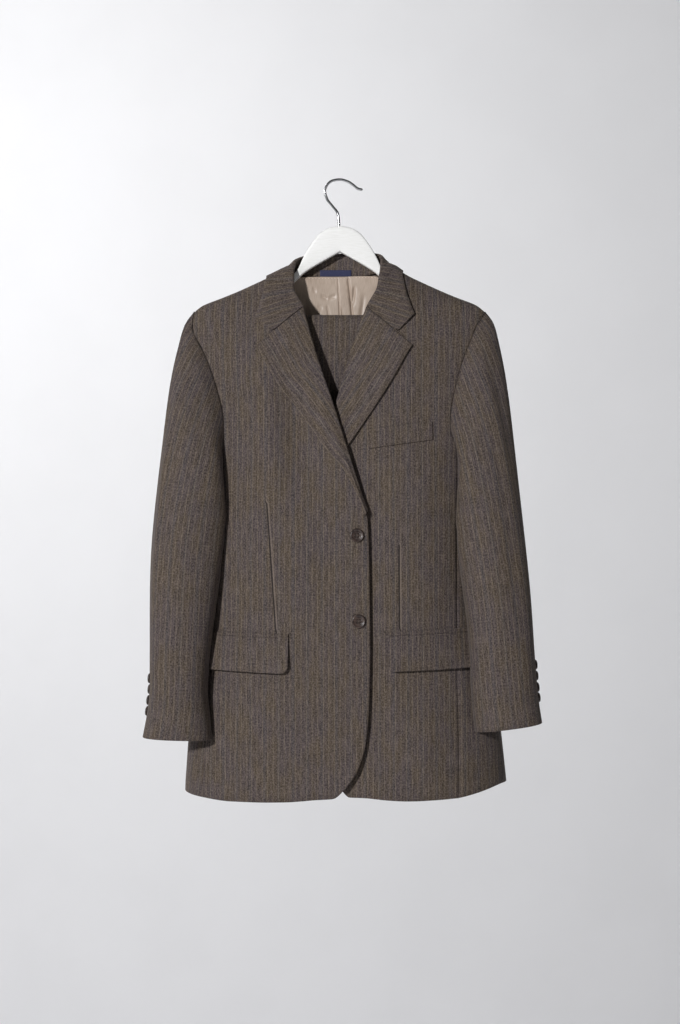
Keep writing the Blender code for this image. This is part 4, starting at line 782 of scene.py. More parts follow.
def sidePanel(side):
    rows, cols = panelCut["side"]
    low = int(rows * 7 / 12)
    k = sideColumn[side]
    under = [(r[0], r[k], i < 4) for i, r in enumerate(bodyForm["underArmhole"])]
    arc = lineOf([(100 * float(ringAngle(x, z, front)), z) for z, x, front in under], cols)
    centre = float(ringAt("centre", openFront["backHem"]))
    seam = seamTable["front", side](openFront["sideHem"])
    hems = Curve([0, 0.4, 1], [float(hemCurve(centre + side * seam)),
                              float(hemCurve(centre + side * panelCut["sideHemTurn"])), openFront["backHem"]])
    shares = np.linspace(0, 1, cols)
    z = [seamHeights(float(hems(s)), arc[c][1], low, rows - low) for c, s in enumerate(shares)]
    z = np.stack(z, axis=1)
    up = (z - hems(shares)[None]) / (arc[:, 1] - hems(shares))[None]
    gap = np.where((shares == 0) | (shares == 1), seamGap / 2, 0)[None]
    first = ringAngle(seamTable["front", side](z) + gap, z, True)
    last = ringAngle(seamTable["back"](z) + gap, z, False)
    angle = first + (last - first) * shares[None]
    angle = np.where(gap == 0, angle + (arc[:, 0][None] / 100 - angle) * up ** 4, angle)
    front = angle < np.pi / 2
    roundness = np.where(front, bodyForm["frontRoundness"], bodyForm["backRoundness"])
    across = ringAt("halfWidth", z) * np.maximum(np.sin(angle), 0) ** (2 / roundness)
    x = ringAt("centre", z) + side * across
    outer = np.stack([x, bodyDepth(x, z, front), z], axis=-1)
    inner = outer - unit(bodySlope(outer)) * cloth["side"]
    return wall("sidePanel_" + sideWord[side], outer, inner, grainOf(outer), [suitCloth])


sleeveCreases = {
    # ring share down the sleeve, turn in degrees, spread in share and degrees, lean, depth: ridges below 0
    right: [
        (0.36, 38, 0.24, 7, 0.0, -2.6), (0.40, 14, 0.26, 12, 0.0, 2.6), (0.50, 112, 0.30, 20, 0.0, 2.6),
        (0.10, 40, 0.03, 34, 0.0, 0.7), (0.16, 75, 0.03, 26, 0.1, 0.8), (0.24, 120, 0.05, 24, 0.1, 1.0),
        (0.44, 150, 0.03, 34, 0.08, 0.9), (0.52, 150, 0.03, 30, -0.06, 0.8), (0.66, 70, 0.07, 14, 0.1, 1.2),
        (0.78, 40, 0.12, 10, -0.1, -1.1), (0.80, 95, 0.06, 14, -0.1, 1.3), (0.60, 290, 0.12, 22, 0.1, 1.6),
        (0.40, 250, 0.06, 26, 0.2, 1.4),
    ],
    left: [
        (0.20, 28, 0.12, 10, 0.06, 3.2), (0.26, 46, 0.12, 11, 0.0, -1.8), (0.15, 92, 0.03, 24, 0.1, 1.2),
        (0.19, 118, 0.03, 26, 0.12, 1.4), (0.25, 132, 0.03, 28, 0.1, -1.0), (0.44, 152, 0.03, 34, 0.08, 0.9),
        (0.52, 62, 0.22, 12, 0.0, 2.0), (0.56, 96, 0.24, 14, 0.0, -1.4), (0.70, 36, 0.14, 12, 0.05, -1.2),
        (0.84, 84, 0.08, 14, -0.1, 1.3), (0.58, 290, 0.14, 22, -0.1, 1.5), (0.36, 246, 0.06, 26, 0.2, 1.3),
    ],
}


def armholeLoop(side):
    k = sideColumn[side]
    rows = [(r[0], r[k], True) for r in bodyForm["frontArmhole"] + bodyForm["underArmhole"][1:4]]
    rows += [(r[0], r[k], False) for r in bodyForm["underArmhole"][4:6] + bodyForm["backArmhole"][::-1]]
    loop = []
    for z, x, front in rows:
        x = float(ringAt("centre", z)) + side * x
        loop.append((x, float(bodyDepth(x, z, front)), z))
    return loop


def sleeveRoom(ring):
    return np.minimum(cloth["sleeve"] + sleeve["armholeGap"] + 0.7 * ring, 5.0)


def headLift(shares):
    # how far the sleeve's first row stands off the body: least at the shoulder's tip, where the seam is flat
    tip = np.exp(-(np.minimum(shares, 1 - shares) / 0.07) ** 2)
    return (cloth["sleeve"] + sleeve["armholeGap"]) * (1 - 0.75 * tip)


def forwardOfBody(points, room):
    # moves points forward until they lie in front of the body's side
    points = np.array(points, float)
    x, z = points[..., 0], points[..., 2]
    inside = np.abs(x - ringAt("centre", z)) < ringAt("halfWidth", z) + room
    moving = inside & (bodyValue(points) < 0.35)
    for _ in range(60):
        slope = np.maximum(np.linalg.norm(bodySlope(points), axis=-1), 1e-6)
        short = moving & (bodyValue(points) / slope < room)
        points[..., 1] -= np.where(short, 1.0, 0.0)
    return points


def sleeveGrid(side):
    # the CAD's rings, so that the cloth lies where the solid does
    above, below, columns = sleeve["ringsAbove"], sleeve["ringsBelow"], sleeve["columns"]
    loop = armholeLoop(side)
    turns = curveOf(sleeve["turns"])
    rows = sleeve["rings"][side]
    table = [curveOf(rows, k) for k in range(1, 6)]
    top, bottom = rows[0][0], rows[-1][0]

    def levelPoint(angle, z):
        inner, outer, centreY, depth, tilt = (float(t(z)) for t in table)
        middle, half = (inner + outer) / 2, (outer - inner) / 2
        cos, sin = math.cos(angle), math.sin(angle)
        across = middle + half * math.copysign(abs(cos) ** 0.88, cos)
        y = centreY - depth / 2 * math.copysign(abs(sin) ** 0.88, sin)
        return np.array([side * across, y, z + tilt * (across - middle)])

    grid = np.zeros((above + below + 1, columns, 3))
    for c in range(columns):
        start = along(loop, c / columns)
        angle = math.radians(float(turns(c / columns)))
        end = levelPoint(angle, top)
        length = np.linalg.norm(end - start)
        sin = math.sin(angle)
        outward = unit([side * 0.78, 0.0 if sin <= 0 else -0.3 * sin, -0.62])
        if sin > 0.2:
            outward = unit([side * 0.62, -0.75 * sin, -0.3])
        start = start + unit(bodySlope(start)) * headLift(c / columns)
        first = start + outward * min(45, 0.3 * length)
        second = end + np.array([0, 0, 1.0]) * 0.45 * length
        second[0] -= side * 0.06 * length * (1 if math.cos(angle) > 0.3 else 0)
        for r in range(above + 1):
            t = r / above
            grid[r, c] = ((1 - t) ** 3 * start + 3 * t * (1 - t) ** 2 * first
                          + 3 * t * t * (1 - t) * second + t ** 3 * end)
        for r in range(1, below + 1):
            grid[above + r, c] = levelPoint(angle, top + (bottom - top) * r / below)
    for r in range(1, len(grid)):
        forward = forwardOfBody(grid[r], sleeveRoom(r))
        share = np.where(np.arange(columns) < columns / 2, 1.0, smooth(0.3, 1.0, r / above))
        grid[r] += (forward - grid[r]) * share[:, None]
    # the fullness that hangs in front of the armpit
    low, wide, reach = sleeve["armpit"][side]
    near = np.exp(-((grid[..., 2] - low) / wide) ** 2) * smooth(0.1, 0.32, np.arange(columns) / columns)[None]
    near = near * smooth(0.56, 0.44, np.arange(columns) / columns)[None]
    grid[1:, :, 0] -= side * reach * near[1:]
    for r in range(1, len(grid)):
        cleared = forwardOfBody(grid[r], sleeveRoom(r) + 1.0)
        grid[r] += (cleared - grid[r]) * (near[r] > 0.05)[:, None]
    for _ in range(2):
        grid[2:-3] = 0.5 * grid[2:-3] + 0.25 * (grid[1:-4] + grid[3:-2])
        for r in range(1, len(grid)):
            cleared = clearOfBody(grid[r], sleeveRoom(r))
            grid[r] = np.where((grid[r, :, 2] < -380)[:, None], cleared, grid[r])
    return grid


def refine(grid, times, closed):
    # a smooth finer grid through the coarse one's points
    def through(points, count, loop):
        if loop:
            points = np.concatenate([points[-3:], points, points[:4]])
            spots = np.arange(len(points)) - 3.0
            wanted = np.arange(count * times) / times
        else:
            spots = np.arange(len(points)) * 1.0
            wanted = np.linspace(0, len(points) - 1, (count - 1) * times + 1)
        i = np.clip(np.searchsorted(spots, wanted, side="right") - 1, 0, len(points) - 2)
        t = (wanted - spots[i])[:, None, None]
        before, after = points[np.maximum(i - 1, 0)], points[np.minimum(i + 2, len(points) - 1)]
        a, b = points[i], points[i + 1]
        return 0.5 * (2 * a + (b - before) * t + (2 * before - 5 * a + 4 * b - after) * t * t
                      + (3 * a - before - 3 * b + after) * t ** 3)
    downward = through(grid, len(grid), False)
    return through(downward.transpose(1, 0, 2), grid.shape[1], closed).transpose(1, 0, 2)


def sleeveGrain(grid, middle, columns):
    # u runs round the arm on level cuts from the middle column, so the stripes run straight down the arm
    arm = unit(grid[-1].mean(axis=0) - grid[20].mean(axis=0))
    count, v = len(grid[0]), -np.sum(grid * arm, axis=-1)
    u = np.zeros(grid.shape[:2])
    sideways = unit(grid[-1, (middle + 1) % count] - grid[-1, middle % count])
    for sign in (1, -1):
        steps = [c for c in sign * np.arange(count) + middle if columns[0] <= c <= columns[1]]
        wanted = v[:, np.array(steps) % count]
        before, far = None, np.zeros_like(wanted)
        for i, c in enumerate(steps):
            heights = np.maximum.accumulate(v[::-1, c % count] + np.arange(len(grid)) * 1e-6)
            level = [np.interp(wanted, heights, grid[::-1, c % count, k]) for k in range(3)]
            level = np.stack(level, axis=-1)
            if before is None:
                far = sign * np.sum(level * sideways, axis=-1)
            else:
                far += np.linalg.norm(level - before, axis=-1)
            before = level
            u[:, c % count] = sign * far[:, i]
    return u, v


def fillTip(grid, side):
    # brings the head out to the armhole's corner behind the shoulder's tip, which coarse columns cut off
    finer = sleeve["finer"]
    shares = 1 - np.linspace(0.62, 0.01, finer - 1) / sleeve["columns"]
    corner = along(armholeLoop(side), shares)
    corner = corner + unit(bodySlope(corner)) * headLift(shares)[:, None]
    fade = smooth(8, 0, np.arange(len(grid)))[:, None, None]
    grid[:, 1 - finer:] += (corner - grid[0, 1 - finer:]) * fade
    return grid


def sleevePair(side):
    coarse = sleeveGrid(side)
    grid = fillTip(refine(coarse, sleeve["finer"], True), side)
    normals = outwardNormals(grid)
    rows, cols = grid.shape[:2]
    ring = np.linspace(0, 1, rows)[:, None]
    turn = (np.arange(cols) / cols * 360)[None]
    depth = np.zeros((rows, cols))
    for share, at, spread, wide, lean, deep in sleeveCreases[side]:
        off = (turn - at + 180) % 360 - 180
        away = (ring - share - lean * off / 90) / spread
        depth += deep * np.exp(-away * away - (off / wide) ** 2)
    depth[:6] *= np.linspace(0, 1, 6)[:, None]
    grid = grid - normals * depth[..., None]
    tuck = unit(bodySlope(grid[0]))
    deep = headLift(np.arange(cols) / cols)[:, None]
    head = np.array([grid[0] - tuck * (deep + 1.6) - normals[0] * 0.6, grid[0] - tuck * (deep + 0.4),
                     grid[0] - tuck * (deep - 1.2) + unit(grid[1] - grid[0]) * 0.2])
    inner = grid - normals * cloth["sleeve"]
    headInner = head + unit(grid[1] - grid[0]) * cloth["sleeve"] * 0.9
    tall, tallInner = np.concatenate([head, grid]), np.concatenate([headInner, inner])
    around = unit(np.roll(tall, -1, axis=1) - np.roll(tall, 1, axis=1))

    def piece(name, low, high):
        low, high = low * sleeve["finer"], high * sleeve["finer"]
        picks = np.arange(low, high + 1) % cols
        out, back = tall[:, picks].copy(), tallInner[:, picks].copy()
        u, v = (g[:, picks] for g in sleeveGrain(grid, 0 if low < 0 else high, (low, high)))
        u, v = np.concatenate([u[:1]] * 3 + [u]), np.concatenate([v[:1] + 4, v[:1] + 2, v[:1] + 1, v])
        for column, sign in ((0, 1), (-1, -1)):
            shift = around[:, picks[column]] * sign * sleeve["seam"] / 2
            out[:, column] += shift
            back[:, column] += shift
        return wall(name + sideWord[side], out, back, np.stack([u, v], axis=-1), [suitCloth])

    top = piece("topSleeve_", sleeve["elbowColumn"] - sleeve["columns"], sleeve["forearmColumn"])
    under = piece("underSleeve_", sleeve["forearmColumn"], sleeve["elbowColumn"])
    return top, under, coarse


def lapel(side):
    rows, flatColumns = 97, 22
    edge = sideColumn[side]
    rollLine = [(r[edge], r[0]) for r in openFront["edges"]
                if openFront["breakHeight"] - 0.5 < r[0] < openFront["gorgeHeight"] + 0.5]
    rollLine[0] = (rollLine[0][0], rollLine[0][1] + 4.0)
    innerPoints, outerPoints = lineOf(rollLine, rows), lineOf(neck["lapelEdge"][side], rows)
    outerPoints[0] = innerPoints[0] + unit(outerPoints[0] - innerPoints[0]) * 7
    half = cloth["lapel"] / 2
    radius = cloth["front"] / 2 + seamGap + half + 0.1
    angles = np.radians(np.linspace(-25, 78, 8))
    out = np.zeros((rows, len(angles) + flatColumns, 3))
    back = np.zeros_like(out)
    face, normal = frontFace(innerPoints[:, 0], innerPoints[:, 1], side)
    axis = face - normal * cloth["front"] / 2
    near = innerPoints + (outerPoints - innerPoints) * 0.05
    beyond, _ = frontFace(near[:, 0], near[:, 1], side)
    away = unit(face - beyond)
    away = unit(away - normal * np.sum(away * normal, axis=-1, keepdims=True))
    for k, angle in enumerate(angles):
        ray = math.cos(angle) * away + math.sin(angle) * normal
        out[:, k] = axis + ray * (radius + half)
        back[:, k] = axis + ray * (radius - half)
    up = np.linspace(0, 1, rows)
    for c in range(flatColumns):
        share = (c + 1) / flatColumns
        place = innerPoints + (outerPoints - innerPoints) * (0.06 + 0.94 * share)
        face, normal = frontFace(place[:, 0], place[:, 1], side)
        lift = seamGap + 0.3 + neck["lapelLift"] * (1 - 0.5 * up) * math.sin(math.pi * share ** 0.7) ** 2
        lift = lift + neck["edgeLift"][side] * smooth(0.5, 1, share) * smooth(0, 0.12, up) * (1 - 0.3 * up)
        back[:, len(angles) + c] = face + normal * lift[:, None]
        out[:, len(angles) + c] = face + normal * (lift + cloth["lapel"])[:, None]
    line = lineOf(neck["lapelEdge"][side][:-1], 400)
    before, after = unit(line[0] - line[30]), unit(line[-1] - line[-30])
    line = np.concatenate([line[:1] + before * np.linspace(60, 0.3, 150)[:, None], line,
                           line[-1:] + after * np.linspace(0.3, 60, 150)[:, None]])
    flat = out.reshape(-1, 3)[:, [0, 2]]
    gaps = np.linalg.norm(flat[:, None] - line[None], axis=-1)
    nearest = gaps.argmin(axis=1)
    runs = np.concatenate([[0], np.cumsum(np.linalg.norm(np.diff(line, axis=0), axis=1))])
    grain = np.stack([gaps.min(axis=1), runs[nearest]], axis=-1).reshape(rows, -1, 2)
    return wall("lapelCloth_" + sideWord[side], out, back, grain, [suitCloth])


def neckSeamPoints():
    return [(x, float(bodyDepth(x, z, front)), z) for x, z, front in neck["seam"]]


def collarFrame(share):
    fold, seam = along(neck["fold"], share), along(neckSeamPoints(), share)
    forward = unit(along(neck["fold"], min(share + 0.01, 1)) - along(neck["fold"], max(share - 0.01, 0)))
    rise = fold - seam
    up = unit(rise - forward * np.dot(rise, forward))
    normal = unit(np.cross(forward, up))
    if np.dot(normal, fold - np.array([-4, -12, fold[2]])) < 0:
        normal = -normal
    reach = cloth["stand"] / 2 + seamGap + cloth["collar"] + 0.2
    axis = fold - up * reach
    end = float(1 - smooth(0.05, 0.15, min(share, 1 - share)))
    if end > 0:
        side = right if share < 0.5 else left
        x, z = float(edgeTable[side](fold[2])), fold[2]
        face, faceNormal = frontFace(np.array(x), np.array(z), side)
        away = unit(np.array([-side * 0.94, 0, 0.34]))
        away = unit(away - faceNormal * np.dot(away, faceNormal))
        axis = axis + (face - faceNormal * cloth["front"] / 2 - axis) * end
        up = unit(up + (away - up) * end)
        normal = unit(normal + (faceNormal - normal) * end)
    return axis, up, normal, seam


def collar():
    count, flatColumns = 141, 14
    half = cloth["collar"] / 2
    radius = cloth["stand"] / 2 + seamGap + half + 0.2
    turns = np.radians(np.linspace(-40, 50, 7))
    out = np.zeros((count, len(turns) + flatColumns, 3))
    back = np.zeros_like(out)
    flat = np.zeros((count, flatColumns, 3))
    stand = []
    for i in range(count):
        share = i / (count - 1)
        axis, up, normal, seam = collarFrame(share)
        for k, turn in enumerate(turns):
            ray = math.cos(turn) * up + math.sin(turn) * normal
            out[i, k] = axis + ray * (radius + half)
            back[i, k] = axis + ray * (radius - half)
        leaf = along(neck["leaf"], share)
        start = axis + normal * radius
        side = right if share < 0.5 else left
        corner = max(1 - min(share, 1 - share) / neck["notchReach"], 0) ** 1.5
        for c in range(flatColumns):
            part = c / (flatColumns - 1)
            place = start + (leaf - start) * part
            pulled = min(part / neck["notchShare"], (1 - part) / (1 - neck["notchShare"]), 1.0)
            if corner > 0 and pulled > 0:
                straight = start + (leaf - start) * neck["notchShare"]
                notch = neck["notch"][side]
                aside = np.array([notch[0] - straight[0], 0, notch[1] - straight[2]])
                place = place + aside * corner * pulled
            offStand = np.dot(place - seam, normal)
            ease = radius + neck["fallEase"]
            if part > 0 and np.dot(place - seam, up) > -2 and offStand < ease:
                place = place + normal * (ease - offStand) * min(part * 4, 1)
            press = neck["leafPress"][side] * smooth(0.7, 1, part) * smooth(-155, -190, place[2])
            room = half + seamGap + 1.4 - float(press)
            if part > 0 and place[2] < -190:
                face, faceNormal = frontFace(np.array(place[0]), np.array(place[2]), side)
                place = place + (face + faceNormal * room - place) * min(part * 4, 1)
            elif part > 0 and place[2] < -126:
                place = place + (clearOfBody(place, room) - place) * min(part * 4, 1)
            bow = neck["fallBow"] * smooth(0.6, 0.68, share) * smooth(0.84, 0.76, share)
            flat[i, c] = place + normal * bow * math.sin(math.pi * part)
        height = np.linalg.norm(axis - seam)
        if height > 5:
            stand.append((share, axis - up * 1.5, normal, seam + (axis - seam) * neck["standLift"] / height))
    middle = np.concatenate([((out + back) / 2)[:, :len(turns)], flat], axis=1)
    normals = gridNormals(middle)
    if normals[count // 2, -2][1] < 0:
        normals = -normals
    out[:, len(turns):] = flat + normals[:, len(turns):] * half
    back[:, len(turns):] = flat - normals[:, len(turns):] * half
    length = np.linalg.norm(np.diff(np.array(neck["fold"]), axis=0), axis=1).sum()
    across = np.concatenate([np.zeros((count, 1)), np.cumsum(
        np.linalg.norm(np.diff(middle, axis=1), axis=-1), axis=1)], axis=1)
    foldLine = lineOf(neck["fold"], 500)
    before, after = unit(foldLine[0] - foldLine[12]), unit(foldLine[-1] - foldLine[-12])
    foldLine = np.concatenate([foldLine[:1] + before * np.linspace(70, 0.5, 140)[:, None], foldLine,
                               foldLine[-1:] + after * np.linspace(0.5, 70, 140)[:, None]])
    foldRuns = np.concatenate([[0], np.cumsum(np.linalg.norm(np.diff(foldLine, axis=0), axis=1))])
    nearest = np.linalg.norm(middle.reshape(-1, 1, 3) - foldLine[None], axis=-1).argmin(axis=1)
    grain = np.stack([foldRuns[nearest].reshape(across.shape), across], axis=-1)
    fall = wall("collarFall", out, back, grain, [suitCloth])
    low = np.array([s[3] for s in stand])[:, None]
    high = np.array([s[1] for s in stand])[:, None]
    normal = np.array([s[2] for s in stand])[:, None]
    levels = np.linspace(0, 1, 12)[None, :, None]
    middle = low + (high - low) * levels
    grain = np.stack([np.broadcast_to((np.array([s[0] for s in stand]) * length)[:, None], middle.shape[:2]),
                      middle[..., 2]], axis=-1)
    standing = wall("collarStand", middle + normal * cloth["stand"] / 2, middle - normal * cloth["stand"] / 2,
                    grain, [suitCloth])
    return fall, standing


flapSide = {"wide": 118, "tall": 52}  # what a flap's rounded corners are measured on
laidPieces = {
    # the solid, side, low inner, low outer, high inner and high outer corners, cloth, lift, columns, rows
    # and corner radius
    "pocketFlap_right": ("pocket_flap_right", right, ((-75, -731), (-196, -727), (-75, -680), (-196, -677)),
                         "flap", 7.0, 97, 41, 11),
    "pocketJet_right": ("pocket_jet_right", right,
                        ((-75, -679.5), (-196, -676.5), (-75, -674.5), (-196, -671.5)), "jet", 2.2, 97, 9, 0),
    "pocketFlap_left": ("pocket_flap_left", left, ((68, -728), (198, -724), (68, -677), (198, -672)),
                        "flap", 7.0, 97, 41, 11),
    "pocketJet_left": ("pocket_jet_left", left,
                       ((68, -676.5), (198, -671.5), (68, -671.5), (198, -666.5)), "jet", 2.2, 97, 9, 0),
    "chestWelt": ("chest_welt", left, ((42, -404), (135, -391), (42, -376), (135, -365)),
                  "welt", 0.4, 73, 25, 0),
}


def laidOnFront(name, side, corners, layer, lift, cols, rows, rounding):
    lowIn, lowOut, highIn, highOut = (np.array(p, float) for p in corners)
    s = np.linspace(0, 1, cols)
    if rounding:
        s = s - np.sin(fullTurn * s) / (2.4 * math.pi)
    low = lowIn + (lowOut - lowIn) * s[:, None]
    high = highIn + (highOut - highIn) * s[:, None]
    rise = np.zeros(cols)
    if rounding:
        away = np.minimum(s, 1 - s) * flapSide["wide"]
        rise = np.where(away < rounding, (rounding - np.sqrt(np.maximum(
            rounding ** 2 - (rounding - away) ** 2, 0))) / flapSide["tall"], 0)
    low = low + (high - low) * rise[:, None]
    t = np.linspace(0, 1, rows)[:, None]
    place = low[None] + (high - low)[None] * t[..., None]
    face, normal = frontFace(place[..., 0], place[..., 1], side)
    height = (seamGap + 0.15 + lift * (1 - t))[..., None]
    inner = face + normal * height
    outer = face + normal * (height + cloth[layer])
    return wall(name, outer, inner, grainOf(outer), [suitCloth])


liningForm = {
    "top": [(-96, -186), (-84, -166), (-70, -149), (-58, -143.2), (-30, -142.8), (0, -142.8), (30, -141.8),
            (52, -141.6), (66, -148), (80, -166), (88, -182)],
    "bottom": -292, "cols": 281, "rows": 61,
    # x at the top and bottom of the visible part, how far it stands out on its left and dips at its line
    "centreSeam": (-4.5, -1.5, 0.3, 2.6, 0.8), "pleat": (11.0, 17.5, 1.2, 4.2, 1.7), "room": 3.6,
    # x and z at both ends, width, depth: troughs above 0 and ridges below 0
    "creases": [
        (-29, -171, -18, -176, 1.5, 2.4), (-18, -176, -6, -171, 1.5, 2.2), (-20, -186, -14, -212, 1.6, 1.8),
        (-30, -196, -40, -212, 1.8, 1.6), (22, -158, 19, -186, 2.2, 2.4), (-54, -168, -47, -230, 5, 1.1),
        (36, -170, 30, -214, 3, 1.2), (-34, -186, -26, -190, 1.5, 1.2), (2, -190, 6, -214, 1.6, 1.4),
        (-42, -160, -36, -166, 1.8, 1.2), (31, -160, 28, -230, 5.0, -0.6),
    ],
}


def liningFold(x, z, fold):
    # a fold or seam whose left side stands over its right one
    high, low, out, deep, wide = fold
    away = x - (high + (low - high) * (z + 143) / -60)
    opening = 0.45 + 0.55 * smooth(-150, -200, z)
    raised = out * np.exp(-(away / 16) ** 2) * (away < 0) + out * (away >= 0) * np.exp(-(away / 0.8) ** 2)
    return (raised - deep * np.exp(-((away - 1.2) / wide) ** 2)) * opening


def lining():
    form = liningForm
    cols, rows = form["cols"], form["rows"]
    top = lineOf(form["top"], cols)
    t = np.linspace(0, 1, rows)[:, None]
    x = np.broadcast_to(top[:, 0], (rows, cols))
    z = top[:, 1] + (form["bottom"] - top[:, 1]) * t
    relief = liningFold(x, z, form["pleat"]) + liningFold(x, z, form["centreSeam"])
    relief = relief - foldDepth(x, z, form["creases"])
    face = np.stack([x, bodyDepth(x, z, False), z], axis=-1)
    normal = unit(bodySlope(face))
    outer = face - normal * (cloth["back"] + seamGap + form["room"])
    outer[..., 1] -= np.maximum(relief, 0.3 - form["room"]) * smooth(0, 3, top[:, 1] - z)
    inner = outer - normal * cloth["lining"]
    made = wall("backLining", outer, inner, grainOf(outer), [satin])
    return made, inner


def standFace(x, z):
    # the inner face of the collar's stand at the back of the neck
    shares = np.linspace(0.3, 0.7, 81)
    share = float(shares[np.abs(along(neck["fold"], shares)[:, 0] - x).argmin()])
    axis, _, normal, seam = collarFrame(share)
    rise = (z - seam[2]) / (axis[2] - seam[2])
    face = seam + (axis - seam) * rise - normal * cloth["stand"] / 2
    return np.array([x, face[1] - 0.15, z])


labelForm = {"start": -30, "wide": 47, "top": -132.5, "tall": 9.8, "thick": 0.9, "rows": 9, "cols": 33}


def neckLabel():
    form = labelForm
    rows, cols = form["rows"], form["cols"]
    outer = np.zeros((rows, cols, 3))
    for c in range(cols):
        for r in range(rows):
            outer[r, c] = standFace(form["start"] + form["wide"] * c / (cols - 1),
                                    form["top"] - form["tall"] * r / (rows - 1))
    outer[:, :, 1] = outer[:, :, 1].mean(axis=1, keepdims=True) * 0.2 + outer[:, :, 1] * 0.8
    outer[:, :, 1] -= seamGap
    inner = outer.copy()
    inner[..., 1] -= form["thick"]
    return wall("neckLabel", outer, inner, grainOf(outer), [labelCloth])


buttonForm = {
    "front": [(24.6, -531), (27, -655)], "frontRadius": 10, "frontThick": 3.6,
    "holeReach": 2.4, "holeRadius": 1.1, "cuffRadius": 7.3, "cuffThick": 3.2,
    "cuffHeights": {right: (-742, -758, -774, -790), left: (-722, -738, -755, -770)},
    # radius share and height share from the back, over the rim and into the dish
    "profile": [(0.0, 0.0), (0.6, 0.0), (0.84, 0.03), (0.95, 0.16), (1.0, 0.4), (1.0, 0.62), (0.975, 0.82),
                (0.92, 0.96), (0.86, 1.0), (0.79, 0.95), (0.73, 0.82), (0.68, 0.76), (0.5, 0.74),
                (0.0, 0.74)],
}


def buttonFrame(normal):
    across = unit(np.cross(normal, [0, 0, 1]))
    return across, np.cross(across, normal)


def buttonRings(centre, normal, radius, thick):
    across, upward = buttonFrame(normal)
    return np.array([centre + normal * thick * level + circle(across, upward, max(share, 0.002) * radius, 64)
                     for share, level in buttonForm["profile"]])


def rod(name, start, end, radius, sides, materials):
    axis = unit(np.asarray(end, float) - start)
    across = unit(np.cross(axis, [0.3, 0.9, 0.2]))
    upward = np.cross(axis, across)
    ring = circle(across, upward, radius, sides)
    return loft(name, np.array([np.asarray(start, float) + ring, np.asarray(end, float) + ring]), materials)


def cutOut(target, cutter):
    cutting = target.modifiers.new("cut", "BOOLEAN")
    cutting.operation = "DIFFERENCE"
    cutting.object = cutter
    mesh = evaluatedMesh(target)
    target.modifiers.remove(cutting)
    target.data = mesh
    bpy.data.objects.remove(cutter, do_unlink=True)


def frontButton(name, node, x, z):
    face, normal = frontFace(np.array(x), np.array(z), right)
    centre = face + normal * (seamGap + 0.25)
    form = buttonForm
    made = loft(name, buttonRings(centre, normal, form["frontRadius"], form["frontThick"]), [resin])
    across, upward = buttonFrame(normal)
    holes = []
    for i in range(4):
        turn = math.pi / 4 + i * math.pi / 2
        place = centre + (across * math.cos(turn) + upward * math.sin(turn)) * form["holeReach"]
        holes.append(place)
        cutOut(made, rod("holeCutter", place - normal * 3, place + normal * 8, form["holeRadius"],
                         20, [resin]))
    settle(made, [node])
    level = form["frontThick"] * form["profile"][-1][1] + 0.25
    thread = []
    for a, b in ((0, 2), (1, 3)):
        thread.append([holes[a] - normal * 0.1, holes[a] + normal * level, holes[b] + normal * level,
                       holes[b] - normal * 0.1])
        level += 0.35
    return thread


def cuffButton(name, node, centre, normal):
    made = loft(name, buttonRings(centre, normal, buttonForm["cuffRadius"], buttonForm["cuffThick"]), [resin])
    settle(made, [node])


hangerForm = {
    # across, top, bottom near the middle
    "board": [(0, -68, -107), (15, -70.5, -115.5), (30, -79, -124), (45, -98, -133), (55, -115, -140),
              (64, -134, -149), (80, -147, -161)],
    # across, height of the arm under the shoulder
    "arm": [(98, 19), (112, 23), (135, 27), (160, 31), (182, 36), (197, 34), (205, 22), (209, 8)],
    "armDrop": 6.0, "thick": 13, "barRadius": 6, "barHalf": 186, "barCentre": (-20, -217),
    "hookPath": [(-1.5, -84), (-1.5, -68), (-3, -50), (-10.5, -39), (-19.5, -27), (-22.8, -15), (-19, -5.5),
                 (-11, 0.4), (0, 2), (11.5, -1), (20, -6.3), (27, -11.8), (34, -13.3)],
    "wireRadius": 2,
}


